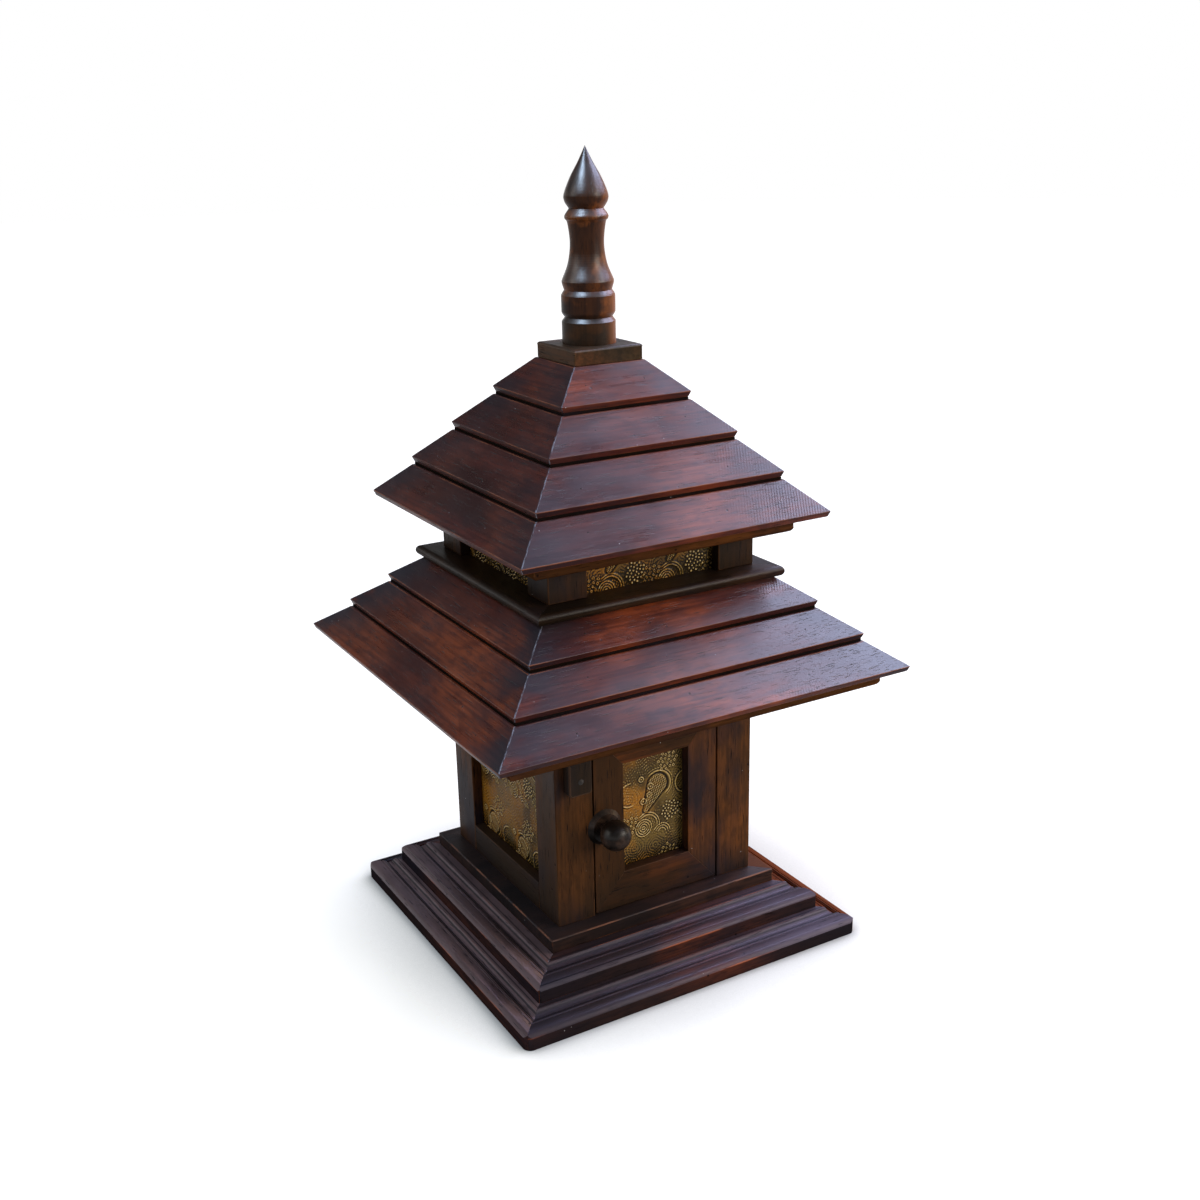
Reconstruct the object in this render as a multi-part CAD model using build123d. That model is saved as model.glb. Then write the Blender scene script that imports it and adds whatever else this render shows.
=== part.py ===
from build123d import *

import math
import os

# Tabletop spirit house: a square teak shrine of two storeys under stepped, mitred roofs.
#
# Millimetres, +Z up. The origin is the centre of the underside, and the door faces -Y.
# Every board that runs round the building is cut at 45 degrees at its corners, so one section
# and one half width describe a whole ring of four boards. The plan grows outwards from the
# storeys: each ledge, slab and eave stands out from them by its own margin.

# ---- lower storey ----
storey_width = 164.0  # both storeys, face to face
storey_height = 155.0
post_size = 29.5
wall_thickness = 20.0
sill_height = 21.5
window_head_height = 24.0
door_head_height = 13.5
glass_thickness = 3.0
glass_recess = 8.0  # from a wall's outer face to its glass
groove_depth = 4.0
glass_clearance = 0.3

# ---- moulded base ----
plinth_margin = 13.0  # how far the plinth board stands out from the walls
plinth_height = 10.0
second_margin = 24.0  # the second moulding, out from the plinth board
base_margin = 21.0  # the bottom moulding, out from the second
moulding_height = 18.0
moulding_face = 9.0  # the upright face below the ovolo
moulding_lap = 14.0  # how far a moulding runs in under what stands on it
ovolo_run = 8.0
ovolo_rise = 5.5
ovolo_bow = 1.4
quirk_depth = 1.2  # the sunk line on each side of the bead
bead_width = 3.6
bead_bow = 1.2
cove_run = 5.0
cove_hollow = 0.8

# ---- door ----
door_thickness = 16.0
door_stile_width = 24.0
door_rail_width = 27.0
door_gap_hinge = 1.4  # beside the hinge post
door_gap_free = 1.0  # beside the lock post
door_gap_end = 1.5  # above and below the door
free_edge_bevel = 3.0  # degrees, so that the back corner swings past the post
pivot_inset = 6.0  # from the door's hinge edge to the pin
pivot_setback = 4.0  # from the door's face to the pin
pin_radius = 1.25
pin_depth = 8.0  # in each piece the pin joins
pin_clearance = 0.1

# ---- knob ----
knob_ball_radius = 11.0
knob_reach = 15.5  # from the door's face to the ball's centre
knob_edge_distance = 8.0  # from the door's free edge to the knob's axis
knob_drop = 2.0  # below the middle of the door
rosette_radius = 13.5  # laps over the lock post, so it also stops the door
rosette_thickness = 3.0
rosette_bow = 0.8
neck_radius = 5.5
spigot_radius = 3.0
spigot_length = 9.0

# ---- turn button ----
button_length = 32.0
button_width = 18.0
button_thickness = 8.0
button_short_arm = 10.5  # from its nail to the near end
button_gap = 0.3  # behind it, where it slides over the door
button_corner = 2.0
button_chamfer = 0.8
button_nail_inset = 13.5  # from the doorway's edge to the nail
button_drop = 42.5  # from the ceiling down to the nail
nail_radius = 1.0
nail_head_radius = 2.1
nail_depth = 12.0

# ---- lower roof ----
eaves_margin = 65.0  # the flat board under the roof, out from the walls
eaves_thickness = 12.7
eaves_round = 5.0
lower_roof_overhang = 14.5  # the lowest tier, out from the eaves board
lower_roof_rise = 16.4  # height gained by one sloping top
lower_roof_edge = 3.8  # upright edge of a tier
lower_roof_tiers = 3

# ---- upper storey ----
slab_margin = 16.0  # the balcony slab, out from the walls
slab_thickness = 8.0
slab_board = 48.0  # width of each mitred board of the slab
slab_overhang = 6.1  # past the top of the lower roof
upper_height = 24.7

# ---- upper roof ----
upper_eaves_margin = 20.0
upper_eaves_thickness = 12.2
upper_eaves_round = 4.0
upper_roof_overhang = 18.0
upper_roof_rise = 20.9
upper_roof_edge = 4.0
upper_roof_tiers = 4
tier_plate = 2.0  # the thin board that each upper tier stands on
tier_undercut = 1.6  # how far a tier's edge leans in at its foot
tier_lap = 12.0  # how far a tier runs in under the next

# ---- cap and finial ----
cap_width = 53.5
cap_thickness = 11.0
cap_round = 2.0
cap_margin = 1.25  # the roof's top that shows round the cap
finial_foot_radius = 18.6
finial_foot_height = 15.0  # the plain drum that stands on the cap
finial_groove_width = 5.8  # each of the two V grooves round the foot
finial_groove_depth = 2.2
finial_drum_height = 12.3  # the bowed drum between the grooves
finial_drum_bow = 0.6
finial_flare_radius = 18.2
finial_flare_height = 5.6  # from the upper groove to the edge of the flare
finial_stem_radius = 13.0  # at the stem's top, under the collar
finial_stem_height = 38.4
finial_stem_hollow = 3.5  # how far the stem curves in
finial_collar_radius = 15.5
finial_collar_height = 4.5  # from the stem out to the collar's edge
finial_waist_radius = 11.8
finial_waist_height = 5.2  # from the collar's edge in to the waist
finial_cove_hollow = 0.6  # of the curves above and below the collar
finial_bud_radius = 14.8
finial_shoulder_height = 9.8  # from the waist out to the bud's widest
finial_shoulder_bow = 1.2
finial_tip_height = 30.5  # from the bud's widest up to the tip
bud_full = (0.85, 0.31)  # shares of the bud's radius and tip height where its ogee is full
bud_slender = (0.22, 0.70)  # and where it is slender
tenon_radius = 6.0
tenon_length = 8.0
tenon_clearance = 0.05

# ---- turned work: a curve is made of straight cuts of about these lengths ----
finial_cut = 14.0
knob_cut = 6.0
nail_cut = 3.0

# ---- the plan, outwards from the storeys ----
plinth_width = storey_width + 2 * plinth_margin
second_width = plinth_width + 2 * second_margin
base_width = second_width + 2 * base_margin
eaves_width = storey_width + 2 * eaves_margin
lower_roof_width = eaves_width + 2 * lower_roof_overhang
slab_width = storey_width + 2 * slab_margin
lower_roof_top = slab_width - 2 * slab_overhang
upper_eaves_width = storey_width + 2 * upper_eaves_margin
upper_roof_width = upper_eaves_width + 2 * upper_roof_overhang
upper_roof_top = cap_width + 2 * cap_margin

# ---- levels, from the ground up ----
second_level = moulding_height
plinth_level = second_level + moulding_height
floor_level = plinth_level + plinth_height
ceiling_level = floor_level + storey_height
lower_roof_level = ceiling_level + eaves_thickness
lower_pitch = lower_roof_edge + lower_roof_rise + tier_plate
slab_level = lower_roof_level + lower_roof_tiers * lower_pitch - tier_plate
upper_floor_level = slab_level + slab_thickness
upper_ceiling_level = upper_floor_level + upper_height
upper_roof_level = upper_ceiling_level + upper_eaves_thickness
upper_pitch = upper_roof_edge + upper_roof_rise + tier_plate
cap_level = upper_roof_level + upper_roof_tiers * upper_pitch - tier_plate
finial_level = cap_level + cap_thickness

# ---- places that several pieces share ----
wall_face = storey_width / 2
doorway_half = wall_face - post_size
door_bottom = floor_level + door_gap_end
door_top = ceiling_level - door_head_height - door_gap_end
door_left = -doorway_half + door_gap_free
door_right = doorway_half - door_gap_hinge
door_front = -wall_face
door_back = door_front + door_thickness
sight_left = door_left + door_stile_width  # the sight lines round the door's glass
sight_right = door_right - door_stile_width
sight_bottom = door_bottom + door_rail_width
sight_top = door_top - door_rail_width
rebate_left = sight_left - groove_depth  # the rebate behind them
rebate_right = sight_right + groove_depth
rebate_bottom = sight_bottom - groove_depth
rebate_top = sight_top + groove_depth
pivot_x = door_right - pivot_inset
pivot_y = door_front + pivot_setback
knob_x = door_left + knob_edge_distance
knob_z = (door_bottom + door_top) / 2 - knob_drop
nail_x = -doorway_half - button_nail_inset
nail_z = ceiling_level - button_drop


def save(name, *solids):
    """Writes one sub-part: a single solid, or like solids that stand apart."""
    shape = solids[0] if len(solids) == 1 else Compound(list(solids))
    export_step(shape, f"parts/{name}.step")


def block(x, y, z):
    """A rectangular block from its low and high values along each axis."""
    size = [high - low for low, high in (x, y, z)]
    return Pos(x[0], y[0], z[0]) * Box(*size, align=(Align.MIN, Align.MIN, Align.MIN))


def rod(radius, length):
    """A round rod that stands on the origin."""
    return Cylinder(radius, length, align=(Align.CENTER, Align.CENTER, Align.MIN))


def square_board(width, bottom, thickness):
    """A flat square board centred on the axis."""
    return Pos(0, 0, bottom) * Box(width, width, thickness, align=(Align.CENTER, Align.CENTER, Align.MIN))


def turned(solid, degrees):
    return Rot(0, 0, degrees) * solid


def quarter(reach, height):
    """The front quarter of the plan, whose two sides are the mitres."""
    corner = make_face(Polyline((0, 0), (-reach, -reach), (reach, -reach), close=True))
    return extrude(corner, height)


def mitred_board(section, half_width, top):
    """The front board of a ring: a section drawn outwards and up, run along X and mitred."""
    run = extrude(Plane.YZ * mirror(section, about=Plane.YZ), half_width + 1, both=True)
    return (run & quarter(half_width + 1, top + 1)).solid()


def save_ring(name, front):
    """Four copies of the front board close a square ring, as a pair and the pair between them."""
    save(f"{name}_front_back", front, turned(front, 180))
    save(f"{name}_sides", turned(front, 90), turned(front, 270))


def bowed(start, end, bulge):
    """An arc from start to end that stands off its chord by bulge, outwards when positive."""
    chord = Vector(*end) - Vector(*start)
    outward = Vector(chord.Y, -chord.X).normalized()
    middle = (Vector(*start) + Vector(*end)) / 2 + outward * bulge
    return ThreePointArc(start, middle, end)


def lathe(outline, cut_length):
    """Turns an outline of edges round the Z axis, each curve as a run of short straight cuts."""
    points = [outline[0] @ 0]
    for edge in outline:
        cuts = 1 if edge.geom_type == GeomType.LINE else math.ceil(edge.length / cut_length)
        points += [edge @ (cut / cuts) for cut in range(1, cuts + 1)]
    return revolve(Plane.XZ * make_face(Polyline(*points[:-1], close=True)), Axis.Z)


# ---------------------------------------------------------------- moulded base
def base_moulding(width, seat_width, bottom):
    """One mitred moulding: upright face, ovolo, bead between two quirks, cove and flat top."""
    half = width / 2
    inner = seat_width / 2 - moulding_lap
    top = bottom + moulding_height
    shoulder = (half - ovolo_run, bottom + moulding_face + ovolo_rise)
    bead_out = (shoulder[0], shoulder[1] - quirk_depth)
    bead_in = (bead_out[0] - bead_width, bead_out[1] + quirk_depth / 2)
    cove_foot = (bead_in[0], bead_in[1] - quirk_depth / 2)
    cove_top = (cove_foot[0] - cove_run, top)
    outline = [
        Line((inner, bottom), (half, bottom)),
        Line((half, bottom), (half, bottom + moulding_face)),
        bowed((half, bottom + moulding_face), shoulder, ovolo_bow),
        Line(shoulder, bead_out),
        bowed(bead_out, bead_in, bead_bow),
        Line(bead_in, cove_foot),
        bowed(cove_foot, cove_top, -cove_hollow),
        Line(cove_top, (inner, top)),
        Line((inner, top), (inner, bottom)),
    ]
    return mitred_board(make_face(outline), half, top)


# ---------------------------------------------------------------- roofs
def roof_tier(half, step, bottom, edge, rise, inner):
    """One mitred tier: a wedge with a leaning edge, a sloping top and a flat seat inside."""
    top = bottom + edge + rise
    section = Polyline(
        (inner, bottom),
        (half - tier_undercut, bottom),
        (half, bottom + edge),
        (half - step, top),
        (inner, top),
        close=True,
    )
    return mitred_board(make_face(section), half, top)


def save_roof(name, width, top_width, level, edge, rise, tiers):
    """Stacks the tiers from the eaves up, each above the lowest on its own thin plate."""
    step = (width - top_width) / (2 * tiers)
    pitch = edge + rise + tier_plate
    plates = []
    for tier in range(tiers):
        half = width / 2 - tier * step
        bottom = level + tier * pitch
        inner = half - step - tier_lap
        save_ring(f"{name}_tier_{tier + 1}", roof_tier(half, step, bottom, edge, rise, inner))
        if tier:
            plates.append(square_board(2 * (half - tier_undercut), bottom - tier_plate, tier_plate))
    save(f"{name}_plates", *plates)


def eaves_board(width, bottom, thickness, radius):
    """The flat board that closes a roof from below, with its lower edge rounded."""
    board = square_board(width, bottom, thickness)
    return fillet(board.edges().group_by(Axis.Z)[0], radius)


def balcony_slab():
    """One mitred board of the slab between the storeys, with its outer edge fully rounded."""
    half = slab_width / 2
    inner = half - slab_board
    straight = half - slab_thickness / 2
    nose = (half, slab_level + slab_thickness / 2)
    outline = [
        Line((inner, slab_level), (straight, slab_level)),
        ThreePointArc((straight, slab_level), nose, (straight, upper_floor_level)),
        Line((straight, upper_floor_level), (inner, upper_floor_level)),
        Line((inner, upper_floor_level), (inner, slab_level)),
    ]
    return mitred_board(make_face(outline), half, upper_floor_level)


# ---------------------------------------------------------------- storeys
def glass_groove(length, height, bottom):
    """The space cut for a front pane, with its clearances."""
    outer = -wall_face + glass_recess - glass_clearance
    inner = -wall_face + glass_recess + glass_thickness + glass_clearance
    return block((-length / 2, length / 2), (outer, inner), (bottom, bottom + height))


def pane(bottom, top):
    """A front pane that stands on the foot of its groove."""
    reach = doorway_half + groove_depth - glass_clearance
    outer = -wall_face + glass_recess
    return block((-reach, reach), (outer, outer + glass_thickness), (bottom, top))


def corner_post(bottom, height):
    """The front left post, before any groove is cut."""
    low, high = -wall_face, -doorway_half
    return block((low, high), (low, high), (bottom, bottom + height))


def wall_rail(bottom, height):
    """A rail between the two front posts."""
    outer = -wall_face
    return block((-doorway_half, doorway_half), (outer, outer + wall_thickness), (bottom, bottom + height))


def build_lower_storey():
    window_bottom = floor_level + sill_height
    window_top = ceiling_level - window_head_height
    groove_length = 2 * (doorway_half + groove_depth)
    groove = glass_groove(
        groove_length, window_top - window_bottom + 2 * groove_depth, window_bottom - groove_depth
    )
    walls = (90, 180, 270)  # the turns that bring the front wall to the right, the back and the left
    grooves = [turned(groove, turn) for turn in walls]
    posts = []
    for turn in (0, 90, 180, 270):
        posts.append(turned(corner_post(floor_level, storey_height), turn) - grooves)
    nail_hole = rod(nail_radius + tenon_clearance, nail_depth)
    posts[0] = posts[0] - Pos(nail_x, -wall_face, nail_z) * Rot(-90, 0, 0) * nail_hole
    save("corner_posts", *posts)

    sill = wall_rail(floor_level, sill_height) - groove
    save("window_sills", *[turned(sill, turn) for turn in walls])
    head = wall_rail(window_top, window_head_height) - groove
    save("window_heads", *[turned(head, turn) for turn in walls])

    glass = pane(window_bottom - groove_depth, window_top + groove_depth - glass_clearance)
    for side, turn in zip(("right", "back", "left"), walls):
        save(f"{side}_window_glass", turned(glass, turn))

    door_head = wall_rail(ceiling_level - door_head_height, door_head_height)
    save("door_head", door_head - pin_bores())


def build_upper_storey():
    groove = glass_groove(2 * (doorway_half + groove_depth), upper_height, upper_floor_level)
    grooves = [turned(groove, turn) for turn in (0, 90, 180, 270)]
    post = corner_post(upper_floor_level, upper_height) - grooves
    save("upper_posts", *[turned(post, turn) for turn in (0, 90, 180, 270)])
    glass = pane(upper_floor_level, upper_ceiling_level)
    save_ring("upper_glass", glass)


# ---------------------------------------------------------------- door
def pivot_rod(bottom, radius, length):
    """A pin of the door, or the bore for one, on the line the door turns about."""
    return Pos(pivot_x, pivot_y, bottom) * rod(radius, length)


def pin_bores():
    """Holes for both pins where they are fixed, in the plinth board and the door head."""
    radius = pin_radius + tenon_clearance
    lower = pivot_rod(floor_level - pin_depth, radius, pin_depth)
    upper = pivot_rod(ceiling_level - door_head_height, radius, pin_depth)
    return [lower, upper]


def door_pin_bores():
    """Running holes for the pins in the door's two ends."""
    radius = pin_radius + pin_clearance
    depth = pin_depth + pin_clearance
    return [pivot_rod(door_bottom, radius, depth), pivot_rod(door_top - depth, radius, depth)]


def frame_piece(corners):
    """A stile or rail from its outline on the door's face, rebated behind for the glass."""
    outline = make_face(Polyline(*corners, close=True))
    piece = extrude(Plane.XZ.offset(-door_front) * outline, -door_thickness)
    bevel = door_thickness * math.tan(math.radians(free_edge_bevel))
    corner = (door_left, door_back)
    wedge = make_face(Polyline((door_left, door_front), corner, (door_left + bevel, door_back), close=True))
    free_edge = Pos(0, 0, door_bottom) * extrude(wedge, door_top - door_bottom)
    rebate = block(
        (rebate_left, rebate_right), (door_front + glass_recess, door_back), (rebate_bottom, rebate_top)
    )
    return piece - [free_edge, rebate] - door_pin_bores() - knob_spigot(tenon_clearance)


def corners_of(left, right, bottom, top):
    return [(left, bottom), (right, bottom), (right, top), (left, top)]


def door_frame():
    """The left stile, right stile, bottom rail and top rail, mitred at their corners."""
    outer = corners_of(door_left, door_right, door_bottom, door_top)
    sight = corners_of(sight_left, sight_right, sight_bottom, sight_top)
    sides = ((3, 0), (1, 2), (0, 1), (2, 3))
    return [frame_piece([outer[a], outer[b], sight[b], sight[a]]) for a, b in sides]


def knob_spigot(clearance):
    """The round tenon behind the knob, or with a clearance the hole that takes it."""
    return Pos(knob_x, door_front, knob_z) * Rot(-90, 0, 0) * rod(spigot_radius + clearance, spigot_length)


def knob():
    """A turned knob: rosette, waisted neck and ball, with its spigot in the stile."""
    rim = (rosette_radius, 0)
    rosette_top = (rosette_radius - rosette_thickness, rosette_thickness)
    neck_foot = (neck_radius, rosette_thickness)
    neck_end = (neck_radius, knob_reach - math.sqrt(knob_ball_radius**2 - neck_radius**2))
    ball_end = (0, knob_reach + knob_ball_radius)
    outline = [
        Line((0, 0), rim),
        bowed(rim, rosette_top, rosette_bow),
        Line(rosette_top, neck_foot),
        Line(neck_foot, neck_end),
        ThreePointArc(neck_end, (knob_ball_radius, knob_reach), ball_end),
        Line(ball_end, (0, 0)),
    ]
    return Pos(knob_x, door_front, knob_z) * Rot(90, 0, 0) * lathe(outline, knob_cut) + knob_spigot(0)


def glass_beads(bead_front):
    """Square beads that hold the glass in its rebate, the upright ones running through."""
    depth = (bead_front, door_back)
    upright = (rebate_bottom, rebate_top)
    between = (sight_left + glass_clearance, sight_right - glass_clearance)
    return [
        block((rebate_left, sight_left), depth, upright),
        block((sight_right, rebate_right), depth, upright),
        block(between, depth, (rebate_bottom, sight_bottom)),
        block(between, depth, (sight_top, rebate_top)),
    ]


def build_door():
    left_stile, right_stile, bottom_rail, top_rail = door_frame()
    save("door_stiles", left_stile, right_stile)
    save("door_rails", bottom_rail, top_rail)
    glass_front = door_front + glass_recess
    glass_back = glass_front + glass_thickness
    glass = block(
        (rebate_left + glass_clearance, rebate_right - glass_clearance),
        (glass_front, glass_back),
        (rebate_bottom, rebate_top - glass_clearance),
    )
    save("door_glass", glass)
    save("door_glass_beads", *glass_beads(glass_back))
    save("door_knob", knob())
    length = 2 * pin_depth + door_gap_end
    lower_pin = pivot_rod(floor_level - pin_depth, pin_radius, length)
    upper_pin = pivot_rod(door_top - pin_depth, pin_radius, length)
    save("door_hinge_pins", lower_pin, upper_pin)


# ---------------------------------------------------------------- turn button
def build_turn_button():
    """The swivelling block that locks the door, stood on end so that the door is free."""
    front = -wall_face - button_gap - button_thickness
    body = block(
        (nail_x - button_width / 2, nail_x + button_width / 2),
        (front, front + button_thickness),
        (nail_z - button_short_arm, nail_z + button_length - button_short_arm),
    )
    body = chamfer(body.edges().filter_by(Axis.Y), button_corner)
    body = chamfer(body.faces().sort_by(Axis.Y)[0].edges(), button_chamfer)
    shank_hole = Cylinder(nail_radius + pin_clearance, 3 * button_thickness)
    save("turn_button", body - Pos(nail_x, front, nail_z) * Rot(90, 0, 0) * shank_hole)

    head = front - pin_clearance
    outline = [
        Line((0, 0), (nail_head_radius, 0)),
        Bezier((nail_head_radius, 0), (nail_head_radius, nail_radius), (0, nail_radius)),
        Line((0, nail_radius), (0, 0)),
    ]
    dome = Pos(nail_x, head, nail_z) * Rot(90, 0, 0) * lathe(outline, nail_cut)
    shank = rod(nail_radius, -wall_face + nail_depth - head)
    save("turn_button_nail", dome + Pos(nail_x, head, nail_z) * Rot(-90, 0, 0) * shank)


# ---------------------------------------------------------------- cap and finial
def finial_outline():
    """Half of the turned finial: foot, two grooves with a drum between, stem, collar and bud."""
    half_groove = finial_groove_width / 2
    groove_radius = finial_foot_radius - finial_groove_depth
    foot = (finial_foot_radius, 0)
    foot_top = (finial_foot_radius, finial_foot_height)
    lower_groove = (groove_radius, foot_top[1] + half_groove)
    drum_foot = (finial_foot_radius, lower_groove[1] + half_groove)
    drum_top = (finial_foot_radius, drum_foot[1] + finial_drum_height)
    upper_groove = (groove_radius, drum_top[1] + half_groove)
    flare = (finial_flare_radius, upper_groove[1] + finial_flare_height)
    stem_top = (finial_stem_radius, flare[1] + finial_stem_height)
    collar = (finial_collar_radius, stem_top[1] + finial_collar_height)
    waist = (finial_waist_radius, collar[1] + finial_waist_height)
    bud = (finial_bud_radius, waist[1] + finial_shoulder_height)
    tip = (0, bud[1] + finial_tip_height)
    full = (bud[0] * bud_full[0], bud[1] + finial_tip_height * bud_full[1])
    slender = (bud[0] * bud_slender[0], bud[1] + finial_tip_height * bud_slender[1])
    return [
        Line((0, 0), foot),
        Line(foot, foot_top),
        Line(foot_top, lower_groove),
        Line(lower_groove, drum_foot),
        bowed(drum_foot, drum_top, finial_drum_bow),
        Line(drum_top, upper_groove),
        bowed(upper_groove, flare, finial_drum_bow),
        bowed(flare, stem_top, -finial_stem_hollow),
        bowed(stem_top, collar, -finial_cove_hollow),
        bowed(collar, waist, -finial_cove_hollow),
        bowed(waist, bud, finial_shoulder_bow),
        Bezier(bud, full, slender, tip),
        Line(tip, (0, 0)),
    ]


def build_cap_and_finial():
    tenon_base = Pos(0, 0, finial_level - tenon_length)
    cap = square_board(cap_width, cap_level, cap_thickness)
    cap = fillet(cap.edges().group_by(Axis.Z)[-1], cap_round)
    save("cap_block", cap - tenon_base * rod(tenon_radius + tenon_clearance, tenon_length))
    turned_body = Pos(0, 0, finial_level) * lathe(finial_outline(), finial_cut)
    save("finial", turned_body + tenon_base * rod(tenon_radius, tenon_length))


# ---------------------------------------------------------------- the whole house
os.makedirs("parts", exist_ok=True)
save_ring("base_moulding", base_moulding(base_width, second_width, 0.0))
save_ring("second_moulding", base_moulding(second_width, plinth_width, second_level))
save("plinth_board", square_board(plinth_width, plinth_level, plinth_height) - pin_bores())
build_lower_storey()
build_door()
build_turn_button()
save("eaves_board", eaves_board(eaves_width, ceiling_level, eaves_thickness, eaves_round))
save_roof(
    "lower_roof", lower_roof_width, lower_roof_top, lower_roof_level,
    lower_roof_edge, lower_roof_rise, lower_roof_tiers,
)
save_ring("balcony_slab", balcony_slab())
build_upper_storey()
save(
    "upper_eaves_board",
    eaves_board(upper_eaves_width, upper_ceiling_level, upper_eaves_thickness, upper_eaves_round),
)
save_roof(
    "upper_roof", upper_roof_width, upper_roof_top, upper_roof_level,
    upper_roof_edge, upper_roof_rise, upper_roof_tiers,
)
build_cap_and_finial()
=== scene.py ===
# %% [markdown]
# # A teak spirit house
#
# The object is a small shrine of dark stained teak: a moulded base, a square storey with a glazed
# door and three windows, a stepped roof, a second little storey and a second roof with a turned
# finial on top. The joinery is already made, at its real size, and arrives here as a fixed frame.
# This lesson gives it its looks: rounded and worn edges, wood grain, smooth turned work, figured
# glass, light and a camera. Nothing made here moves or resizes the joinery.

import math
import random

import bmesh
import bpy
import numpy as np
from mathutils import Matrix, Vector
from mathutils.bvhtree import BVHTree


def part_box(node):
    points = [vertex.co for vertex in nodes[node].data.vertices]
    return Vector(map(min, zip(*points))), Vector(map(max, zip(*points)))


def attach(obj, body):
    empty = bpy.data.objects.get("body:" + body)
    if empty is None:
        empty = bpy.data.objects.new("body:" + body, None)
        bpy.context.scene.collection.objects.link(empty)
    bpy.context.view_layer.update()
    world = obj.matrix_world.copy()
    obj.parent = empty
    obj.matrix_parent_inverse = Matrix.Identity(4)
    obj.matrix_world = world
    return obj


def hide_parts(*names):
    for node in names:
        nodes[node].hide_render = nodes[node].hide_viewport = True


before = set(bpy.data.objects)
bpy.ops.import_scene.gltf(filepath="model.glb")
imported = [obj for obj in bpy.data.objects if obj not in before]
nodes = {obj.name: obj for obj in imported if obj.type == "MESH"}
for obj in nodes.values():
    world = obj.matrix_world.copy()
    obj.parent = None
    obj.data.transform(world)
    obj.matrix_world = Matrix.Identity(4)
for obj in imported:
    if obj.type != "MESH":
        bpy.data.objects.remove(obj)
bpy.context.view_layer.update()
MM = 0.001  # every length in Blender is in metres, and a maker thinks in millimetres

# %% [markdown]
# ## Where the viewer stands
#
# A camera could be dragged into place by eye. Here it is set the way a photographer would note it
# down: how far round the object, how high, how far away, and how much the lens is tipped up from
# the middle of the base. Each of these is one turn, and the turns are multiplied in that order.

# %% A helper for new objects
def into_scene(name, data):
    """A new object that holds some data, linked to the scene."""
    made = bpy.data.objects.new(name, data)
    bpy.context.scene.collection.objects.link(made)
    return made


# %% The camera
view_round = math.radians(-29.75)  # round the object, from square in front towards its left side
view_height = math.radians(30.56)
view_distance = 1.1627
tip_up = math.radians(11.82)
swing_left = math.radians(0.08)
roll = math.radians(-1.34)
sensor_width = 36.0
focal_length = 43.26

camera_data = bpy.data.cameras.new("camera")
camera_data.sensor_width = sensor_width
camera_data.lens = focal_length
camera_data.clip_start = 0.01
camera = into_scene("camera", camera_data)
camera.matrix_world = (
    Matrix.Rotation(view_round, 4, "Z")
    @ Matrix.Rotation(math.pi / 2 - view_height, 4, "X")
    @ Matrix.Translation((0, 0, view_distance))
    @ Matrix.Rotation(roll, 4, "Z")
    @ Matrix.Rotation(tip_up, 4, "X")
    @ Matrix.Rotation(swing_left, 4, "Y")
)
bpy.context.scene.camera = camera
print("the camera stands at", [round(value, 3) for value in camera.matrix_world.translation])

# %% [markdown]
# ## Writing a finish as a sum
#
# A finish is a graph of nodes. Wiring dozens of them by hand hides the idea, so two small classes
# let a finish be written as arithmetic. `Wire` stands for one output socket: `1 - wire` or
# `wire * 2` adds the Math node that works it out. `Finish` owns the graph and has one method that
# adds any other node. Its settings are given first, because some of them change the sockets. A
# colour is three numbers, for red, green and blue.

# %% Two helpers for finishes
class Wire:
    """One output socket of a finish, which can be used in sums."""

    def __init__(self, finish, socket):
        self.finish = finish
        self.socket = socket

    def other(self, output):
        """Another output of the same node."""
        return Wire(self.finish, self.socket.node.outputs[output])

    def math(self, operation, *others):
        values = dict(enumerate((self, *others)))
        return self.finish.add("ShaderNodeMath", {"operation": operation}, values)

    def __add__(self, other):
        return self.math("ADD", other)

    def __sub__(self, other):
        return self.math("SUBTRACT", other)

    def __rsub__(self, other):
        return (self * -1) + other

    def __mul__(self, other):
        return self.math("MULTIPLY", other)

    def __pow__(self, other):
        return self.math("POWER", other)

    def __abs__(self):
        return self.math("ABSOLUTE")

    def __gt__(self, other):
        return self.math("GREATER_THAN", other)

    __radd__ = __add__
    __rmul__ = __mul__

    def ramp(self, low, high):
        """Rises smoothly from 0 at low to 1 at high, and falls if low is the greater."""
        spans = {"From Min": low, "From Max": high}
        settings = {"interpolation_type": "SMOOTHSTEP"}
        return self.finish.add("ShaderNodeMapRange", settings, {"Value": self, **spans})


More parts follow.
